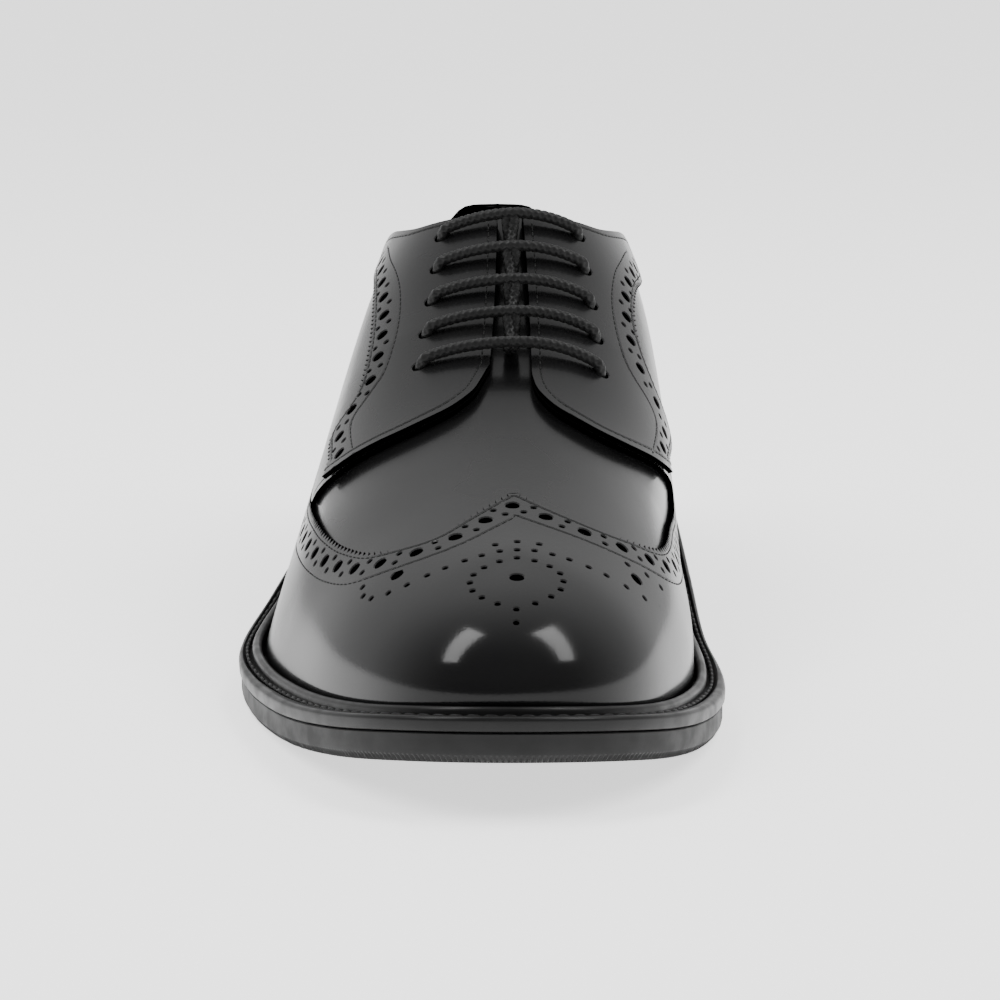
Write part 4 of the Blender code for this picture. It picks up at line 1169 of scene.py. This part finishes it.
def lace(material):
    """Bars over the facings that go down through the eyelets, and the strands that cross in the throat."""
    radius = LACE_DIAMETER / 2
    over = FACING_TOP + radius
    rows = list(zip(eyelet_centres("lateral"), eyelet_centres("medial")))
    paths = []
    for left, right in rows:
        share = np.linspace(BAR_INSET, 1 - BAR_INSET, 15)
        route = left + (right - left) * share[:, None]
        lift = over + LACE_ARCH * np.sin(math.pi * share)
        depths = np.array([UPPER_BED - LACE_TUCK, FACING_TOP - LACE_BEND])
        ends = [chart_point(np.array([end, end]), depths) for end in (left, right)]
        points = np.concatenate([ends[0], chart_point(route, lift), ends[1][::-1]])
        paths.append(smooth_path(points, BRAID_STEP, BAR_SMOOTHING))
    for i, (low, high) in enumerate(zip(rows, rows[1:])):
        share = np.linspace(0, 1, 9)
        centre = [
            np.interp(RIDGE_ACROSS, [left[1], right[1]], [left[0], right[0]]) for left, right in (low, high)
        ]
        for way in (1, -1):
            stations = centre[0] + (centre[1] - centre[0]) * share
            line = np.column_stack([stations, np.full(len(share), RIDGE_ACROSS)])
            sway = way * LACE_CROSS * (1 - 2 * share) * (-1) ** i
            line[:, 1] += sway / np.linalg.norm(chart_slopes(line)[1], axis=1)
            drop = over + LACE_ARCH - radius * (0.7 + 0.5 * way) - LACE_LOW + LACE_SAG
            lift = over + LACE_ARCH - LACE_BEND - drop * np.sin(math.pi * share)
            paths.append(smooth_path(chart_point(line, lift), BRAID_STEP, STRAND_SMOOTHING))
    points, faces = braid(paths, radius, **LACE_BRAID)
    shown(formed("lace", points, faces, material), "lace")


# The welt, its seam and the edge of the sole
STITCH_GROOVE_WIDTH = 0.0022
STITCH_GROOVE_DEPTH = 0.0008
WELT_FACETS = 900
WELT_ROUND = 0.0012
# The groove's outer wall: distance outside its edge and height over the welt's rim
GROOVE_WALL = ((0.0003, 0.0), (0.0001, -0.0001), (-0.0002, -0.0004), (-0.0006, -STITCH_GROOVE_DEPTH))
SEAM_PITCH = 0.0037
SEAM_LENGTH = 0.0034
SEAM_RADIUS = 0.00048
SEAM_BRAID = {"sides": 8, "strands": 2, "twist": 1200.0, "relief": 0.14}
RIB_PITCH = 0.00125
RIB_DEPTH = 0.0004
SOLE_FACETS = 2160
SOLE_CAP_STEP = 0.006
SOLE_CAP_CLEARANCE = 2.0
SOLE_SHARP = 32
# Sole edge upward: inset in undercuts, further inset, ribbed or not, height in thicknesses, rib's rise
SOLE_PROFILE = (
    (1.00, 0.0005, 0, 0.00, 0.0), (1.00, 0.0, 1, 0.00, 0.00045), (0.55, 0.0, 1, 0.10, 0.0003),
    (0.30, 0.0, 1, 0.20, 0.0), (0.12, 0.0, 0, 0.27, 0.0), (0.0, 0.0001, 0, 0.32, 0.0),
    (0.0, 0.0, 0, 0.40, 0.0), (0.0, 0.0, 0, 0.70, 0.0), (0.0, 0.0, 0, 0.96, 0.0), (0.0, 0.0002, 0, 1.0, 0.0),
)


def over_underside(plan, height):
    return np.column_stack([plan, underside(share_of(plan[:, 1])) + height])


def swept(rings, rows):
    """Points round the shoe through rows of (distance outside the feather, height above the underside)."""
    plans = [beside_feather(rings, np.broadcast_to(margin, rings.shape)) for margin, _ in rows]
    return np.concatenate([over_underside(plan, height) for plan, (_, height) in zip(plans, rows)])


def welt(material, seam_material):
    """Flat rim with a rounded edge, the groove with its seam, and the raised bead."""
    rings = np.linspace(0, RING, WELT_FACETS, endpoint=False)
    margin = welt_margin(rings)
    top = WELT_THICKNESS
    bead_end = BEAD_START + BEAD_WIDTH
    groove_end = bead_end + STITCH_GROOVE_WIDTH
    base = OUTSOLE_THICKNESS + SEAT
    rows = [(margin - 0.0004, 0.0), (margin - 0.0001, 0.0004)]
    for turn in np.linspace(0, math.pi / 2, 7):
        rows.append((margin - WELT_ROUND * (1 - math.cos(turn)), top - WELT_ROUND * (1 - math.sin(turn))))
    rows += [(groove_end + out, top + height) for out, height in GROOVE_WALL]
    rows += [(bead_end + 0.0005, top - STITCH_GROOVE_DEPTH), (bead_end + 0.0001, top - 0.0003)]
    for turn in np.linspace(0, math.pi, 11):
        out = BEAD_START + BEAD_WIDTH * (0.5 + 0.5 * math.cos(turn))
        rows.append((out, top + BEAD_HEIGHT * math.sin(turn) ** 0.8))
    rows.append((BEAD_START, 0.0))
    points = swept(rings, [(out, base + height) for out, height in rows])
    faces = circuits(WELT_FACETS, [(k, (k + 1) % len(rows)) for k in range(len(rows))])
    shown(formed("welt", points, faces.tolist(), material), "welt")
    middle = beside_feather(rings, np.full(len(rings), (bead_end + groove_end) / 2))
    line = over_underside(middle, base + top - STITCH_GROOVE_DEPTH * 0.55)
    seam = welt_seam(np.concatenate([line, line[:1]]), seam_material)
    shown(seam, "welt")


def welt_seam(line, material):
    """Thick lockstitches, each a twisted pair of strands, end to end along the welt's groove."""
    run = path_lengths(line)
    share = np.linspace(0, 1, 9)
    paths = []
    for mark in np.arange(0, run[-1] - SEAM_PITCH / 2, SEAM_PITCH):
        path = along_path(mark + SEAM_LENGTH * share, run, line)
        path[:, 2] += 0.00022 - 0.0006 * np.abs(2 * share - 1) ** 4
        paths.append(path)
    points, faces = braid(paths, SEAM_RADIUS, **SEAM_BRAID)
    return formed("welt_stitches", points, faces, material)


def outsole(material):
    """Sole with a stepped edge that is finely ribbed at its foot."""
    rings = np.linspace(0, RING, SOLE_FACETS, endpoint=False)
    edge = welt_margin(rings) - SOLE_STEP
    plan = beside_feather(rings, edge)
    run = path_lengths(plan)
    total = run[-1] + np.linalg.norm(plan[0] - plan[-1])
    wave = 0.5 - 0.5 * np.cos(2 * math.pi * round(total / RIB_PITCH) * run / total)
    rows = []
    for cuts, inset, ribbed, height, rise in SOLE_PROFILE:
        out = edge - SOLE_UNDERCUT * cuts - inset - RIB_DEPTH * ribbed * wave
        rows.append((out, OUTSOLE_THICKNESS * height + rise * wave))
    points = swept(rings, rows)
    faces = circuits(SOLE_FACETS, [(k, k + 1) for k in range(len(rows) - 1)]).tolist()
    for k, height in ((0, 0.0), (len(rows) - 1, OUTSOLE_THICKNESS)):
        outline = points[k * SOLE_FACETS : (k + 1) * SOLE_FACETS, :2]
        (left, front), (right, back) = outline.min(0), outline.max(0)
        across = np.arange(left, right, SOLE_CAP_STEP)
        along = np.arange(front, back, SOLE_CAP_STEP)
        places = np.meshgrid(across, along, indexing="ij")
        grid = np.stack(places, -1).reshape(-1, 2)
        net = Net(grid[in_outline(grid, outline)], [(outline, 0.0, True)], FLAT_SCALE, SOLE_CAP_CLEARANCE)
        net.keep(outline)
        number = np.arange(len(net.points)) + len(points)
        for i in range(SOLE_FACETS):
            number[net.place_of[net.first + i]] = k * SOLE_FACETS + i
        points = np.concatenate([points, over_underside(net.points, height)])
        triangles = number[net.triangles]
        faces += (triangles[:, ::-1] if k == 0 else triangles).tolist()
    shown(formed("outsole", points, faces, material, SOLE_SHARP), "outsole")


# The heel: its stacked lifts and the line between each two
HEEL_SHARP = 35
HEEL_LIFTS = (0.35, 0.66)
LIFT_LINE = 0.0002
LIFT_TOP = 0.003
TOP_PIECE_EDGE = 0.0006
TOP_PIECE_BEVEL = 0.0003


def heel_plan(inset):
    """Plan outline of the heel: the sole's edge behind the breast, and the hollow breast."""
    dense = np.linspace(0, BACK, 400)
    breast = y_of(HEEL_BREAST_SHARE)

    def edge(ring):
        return beside_feather(ring, welt_margin(ring) - SOLE_STEP - inset)

    first = np.interp(breast, edge(dense)[:, 1], dense)
    last = RING - np.interp(breast, edge(RING - dense)[:, 1], dense)
    back = edge(np.linspace(first, last, 220))
    part = np.linspace(-1, 1, 41)[1:-1]
    middle = (back[0] + back[-1]) / 2
    half = (back[0] - back[-1]) / 2
    front = middle - part[:, None] * half + np.column_stack([0 * part, HEEL_BREAST_HOLLOW * (1 - part**2)])
    return np.concatenate([back, front[::-1]])


def heel_part(name, rows, material):
    """Solid through rows of (inset, height), where a height of None is just under the outsole."""
    loops = []
    for inset, height in rows:
        plan = heel_plan(inset)
        flat = np.column_stack([plan, np.full(len(plan), height or 0.0)])
        loops.append(over_underside(plan, -SEAT) if height is None else flat)
    count, last = len(loops[0]), len(loops) - 1
    around = np.arange(count)
    faces = circuits(count, [(k, k + 1) for k in range(last)]).tolist()
    faces += [around[::-1].tolist(), (around + last * count).tolist()]
    piece = formed(name, np.concatenate(loops), faces, material, HEEL_SHARP)
    shown(piece, name)


def heel(block_material, piece_material):
    """Stacked lifts with fine lines between them, and the rubber top piece."""
    flat = TOP_PIECE_THICKNESS + SEAT
    slope = HEEL_TAPER / HEEL_HEIGHT
    inset_low = SEAT + slope * (HEEL_HEIGHT - flat)
    rows = [(inset_low + LIFT_LINE, flat), (inset_low, flat + LIFT_LINE)]
    for share in HEEL_LIFTS:
        height = flat + (HEEL_HEIGHT - LIFT_TOP - flat) * share
        inset = inset_low * (1 - share) + SEAT * share
        rows += [(inset, height - LIFT_LINE), (inset + LIFT_LINE, height), (inset, height + LIFT_LINE)]
    rows += [(SEAT, None)]
    heel_part("heel_block", rows, block_material)
    rim = inset_low + slope * TOP_PIECE_THICKNESS + SEAT
    bevelled = inset_low + (rim - inset_low) * TOP_PIECE_EDGE / TOP_PIECE_THICKNESS
    rows = [(rim + 0.0004, 0.0), (rim, TOP_PIECE_EDGE), (bevelled, TOP_PIECE_THICKNESS - TOP_PIECE_BEVEL)]
    rows += [(inset_low + TOP_PIECE_BEVEL, TOP_PIECE_THICKNESS)]
    heel_part("heel_top_piece", rows, piece_material)


class Value:
    """A shader socket that plain arithmetic can be done with."""

    def __init__(self, look, socket):
        self.look, self.socket = look, socket

    def maths(self, kind, *inputs):
        return self.look.node("ShaderNodeMath", {"operation": kind}, inputs)

    def __add__(self, other):
        return self.maths("ADD", self, other)

    def __radd__(self, other):
        return self.maths("ADD", other, self)

    def __mul__(self, other):
        return self.maths("MULTIPLY", self, other)

    def __rmul__(self, other):
        return self.maths("MULTIPLY", other, self)


class Nodes:
    """A node tree whose nodes are made in one call each."""

    def __init__(self, tree):
        self.tree = tree

    def join(self, slot, value):
        if isinstance(value, Value):
            self.tree.links.new(value.socket, slot)
        elif value is not None:
            slot.default_value = value

    def node(self, kind, settings=None, inputs=(), named=None, output=0):
        """A node with its settings, its inputs by place or by name, and one of its outputs."""
        node = self.tree.nodes.new(kind)
        for key, value in (settings or {}).items():
            setattr(node, key, value)
        for slot, value in zip(node.inputs, inputs):
            self.join(slot, value)
        for key, value in (named or {}).items():
            self.join(node.inputs[key], value)
        return Value(self, node.outputs[output])

    def ramp(self, value, low, high, start, end):
        """Smooth change from start to end while the value goes from low to high."""
        settings = {"interpolation_type": "SMOOTHSTEP"}
        return self.node("ShaderNodeMapRange", settings, (value, low, high, start, end))


class Look(Nodes):
    """A procedural material with its shader."""

    def __init__(self, name, roughness=0.5, coat=0.0, coat_roughness=0.1, gloss=0.18):
        self.material = bpy.data.materials.new(name)
        self.material.use_nodes = True
        super().__init__(self.material.node_tree)
        self.shader = self.tree.nodes["Principled BSDF"]
        self.set("Roughness", roughness)
        self.set("Coat Weight", coat)
        self.set("Coat Roughness", coat_roughness)
        self.set("Specular IOR Level", gloss)
        self.place = self.node("ShaderNodeTexCoord", output="Object")

    def set(self, name, value):
        self.join(self.shader.inputs[name], value)

    def noise(self, scale, detail=3.0, place=None):
        named = {"Vector": place or self.place, "Scale": scale, "Detail": detail}
        return self.node("ShaderNodeTexNoise", named=named, output=0)

    def cells(self, scale):
        named = {"Vector": self.place, "Scale": scale}
        return self.node("ShaderNodeTexVoronoi", named=named, output=0)

    def along(self, axis):
        return self.node("ShaderNodeSeparateXYZ", inputs=(self.place,), output=axis)

    def blend(self, share, first, second):
        named = {0: share, 6: (*first, 1), 7: (*second, 1)}
        return self.node("ShaderNodeMix", {"data_type": "RGBA"}, named=named, output=2)

    def relief(self, height, distance, strength=1.0):
        named = {"Height": height, "Distance": distance, "Strength": strength}
        self.set("Normal", self.node("ShaderNodeBump", named=named))


def polished_leather(name, toe_shine):
    """Black calf: fine pores, a soft waxed sheen, and a mirror shine on the toe where asked for."""
    look = Look(name, coat=0.08, coat_roughness=0.08, gloss=0.17)
    haze = look.noise(28.0, 4.0)
    base = look.ramp(haze, 0.3, 0.7, 0.20, 0.29)
    if toe_shine:
        base = base * look.ramp(look.along(1), -0.100, -0.060, 0.55, 1.0)
    look.set("Roughness", base)
    look.set("Base Color", look.blend(look.noise(60.0), (0.004, 0.004, 0.0045), (0.007, 0.007, 0.0068)))
    look.relief(look.cells(1500.0) * 0.6 + look.noise(600.0) * 0.6, 0.00003, 0.30)
    return look.material


def dull_leather(name, first, second, roughness):
    look = Look(name)
    look.set("Roughness", look.ramp(look.noise(80.0), 0.3, 0.7, roughness - 0.06, roughness + 0.08))
    look.set("Base Color", look.blend(look.noise(120.0), first, second))
    look.relief(look.noise(900.0, 5.0), 0.0001, 0.5)
    return look.material


def rubber(name, level, roughness):
    look = Look(name)
    look.set("Roughness", look.ramp(look.noise(200.0), 0.3, 0.7, roughness - 0.05, roughness + 0.07))
    look.set("Base Color", look.blend(look.noise(90.0), (level,) * 3, (level * 1.5,) * 3))
    look.relief(look.noise(2500.0, 2.0), 0.00003, 0.4)
    return look.material


def cotton(name, level, roughness):
    look = Look(name)
    look.set("Roughness", look.ramp(look.noise(500.0), 0.3, 0.7, roughness - 0.05, roughness + 0.1))
    look.set("Base Color", look.blend(look.noise(1500.0), (level,) * 3, (level * 1.6,) * 3))
    look.relief(look.noise(4000.0, 2.0), 0.00005, 0.5)
    return look.material


def matt(name, colour, roughness, glow=0.0):
    look = Look(name)
    look.set("Emission Color", (1, 1, 1, 1))
    look.set("Emission Strength", glow)
    look.set("Base Color", (*colour, 1))
    look.set("Roughness", look.ramp(look.noise(40.0), 0.3, 0.7, roughness - 0.02, roughness + 0.02))
    return look.material


def shaft(side, leather, stitch):
    eyelets = [(centre, EYELET_DIAMETER / 2) for centre in eyelet_centres(side)]
    front, _ = quarter_lines(side)
    outline = quarter_outline(side)
    row = off_heel(evenly(beside(front, -inward(side) * EDGE_ROW), STITCH_FACET))
    rows = inside_runs(row, outline, QUARTER_ROW_ROOM)
    quarter = panel(f"quarter_{side}", outline, PANEL_TOP, PANEL_BED, [leather], holes=eyelets, rows=rows)
    shown(quarter, f"quarter_{side}")
    rows_of_facing = facing_rows(side)
    facing = panel(f"facing_{side}", pinked_facing(side), FACING_TOP, FACING_BED, [leather],
                   holes=eyelets + facing_holes(side), rows=rows_of_facing)
    shown(facing, f"facing_{side}")
    placed_rows = [over_chart(row, FACING_TOP - STITCH_SINK) for row in rows_of_facing]
    shown(thread(f"facing_stitches_{side}", placed_rows, stitch), f"facing_{side}")


def upper(leather, toe_leather, lining, stitch):
    centres = [*eyelet_centres("lateral"), *eyelet_centres("medial")]
    holes = [(centre, EYELET_DIAMETER / 2) for centre in centres]
    materials = [leather, lining]
    body = panel("upper", upper_outline(), UPPER_TOP, UPPER_BED, materials, holes=holes, bed_material=1)
    shown(body, "upper")
    shown(wing_mesh([toe_leather]), "wing")
    placed_rows = [over_chart(row, PANEL_TOP - STITCH_SINK) for row in wing_rows()]
    shown(thread("wing_stitches", placed_rows, stitch), "wing")
    shown(panel("tongue", tongue_outline(), TONGUE_TOP, TONGUE_BED, [leather]), "tongue")


def camera():
    data = bpy.data.cameras.new("photo_camera")
    thing = bpy.data.objects.new("photo_camera", data)
    bpy.context.scene.collection.objects.link(thing)
    turn, rise = math.radians(CAMERA_AZIMUTH), math.radians(CAMERA_ELEVATION)
    back = Vector((math.sin(turn) * math.cos(rise), -math.cos(turn) * math.cos(rise), math.sin(rise)))
    thing.location = CAMERA_TARGET + back * CAMERA_DISTANCE + shoe_place
    thing.rotation_euler = back.to_track_quat("Z", "Y").to_euler()
    data.sensor_width = 36
    data.lens = 36 * CAMERA_FOCAL / PHOTO_SIZE
    data.shift_x = (PHOTO_SIZE / 2 - CAMERA_CENTRE[0]) / PHOTO_SIZE
    data.shift_y = (CAMERA_CENTRE[1] - PHOTO_SIZE / 2) / PHOTO_SIZE
    bpy.context.scene.camera = thing


def strip_light(name, start, end, width, target, power):
    """Soft light the length of a line, facing a target."""
    start, end, target = Vector(start), Vector(end), Vector(target)
    data = bpy.data.lights.new(name, "AREA")
    data.shape = "RECTANGLE"
    data.size = width
    data.size_y = (end - start).length
    data.energy = power
    thing = bpy.data.objects.new(name, data)
    bpy.context.scene.collection.objects.link(thing)
    middle = (start + end) / 2
    back = (middle - target).normalized()
    side = (end - start).cross(back).normalized()
    facing = Matrix((side, back.cross(side), back)).transposed()
    thing.matrix_world = Matrix.Translation(middle) @ facing.to_4x4()
    return thing


def floor():
    mesh = bpy.data.meshes.new("floor")
    mesh.from_pydata([(-20, -20, 0), (20, -20, 0), (20, 20, 0), (-20, 20, 0)], [], [(0, 1, 2, 3)])
    mesh.materials.append(matt("floor_paper", (0.92, 0.92, 0.92), 0.8, glow=1.3))
    thing = bpy.data.objects.new("floor", mesh)
    bpy.context.scene.collection.objects.link(thing)


STUDIO_FRONT = 0.35
STUDIO_BACK = 1.25

pieces = bpy.context.scene.collection.objects
ring_places = np.arange(0, RING, 0.5)
sole_edge = beside_feather(ring_places, welt_margin(ring_places))
shoe_place = Vector((*(-(sole_edge.min(0) + sole_edge.max(0)) / 2), 0))
leather = polished_leather("black_leather", False)
toe_leather = polished_leather("toe_leather", True)
lining = dull_leather("lining", (0.035, 0.033, 0.031), (0.05, 0.047, 0.044), 0.45)
sock = dull_leather("sock", (0.16, 0.10, 0.055), (0.22, 0.14, 0.08), 0.55)
stitch = cotton("stitch_thread", 0.005, 0.45)
laces = cotton("lace_thread", 0.010, 0.40)
welt_look = rubber("welt_leather", 0.006, 0.36)
sole_look = rubber("sole_rubber", 0.009, 0.5)
looks = {"insole": sock, "backstay": leather}
for node, look in looks.items():
    bpy.data.objects[node].data.materials.clear()
    bpy.data.objects[node].data.materials.append(look)
upper(leather, toe_leather, lining, stitch)
for side in ("lateral", "medial"):
    shaft(side, leather, stitch)
lace(laces)
welt(welt_look, stitch)
outsole(sole_look)
heel(welt_look, sole_look)
camera()
strip_light("key_left", (-0.34, 0.22, 1.25), (-1.00, -0.45, 0.90), 0.30, (0, -0.10, 0.05), 10)
strip_light("key_right", (0.38, 0.22, 1.25), (1.04, -0.45, 0.90), 0.30, (0, -0.10, 0.05), 10)
floor()
world = bpy.data.worlds.new("studio")
world.use_nodes = True
background = world.node_tree.nodes["Background"]
air = Nodes(world.node_tree)
direction = air.node("ShaderNodeTexCoord", output="Generated")
depth = air.node("ShaderNodeSeparateXYZ", inputs=(direction,), output=1)
air.join(background.inputs["Strength"], air.ramp(depth, -0.6, 1.0, STUDIO_FRONT, STUDIO_BACK))
air.join(background.inputs["Color"], (1, 1, 1, 1))
bpy.context.scene.world = world
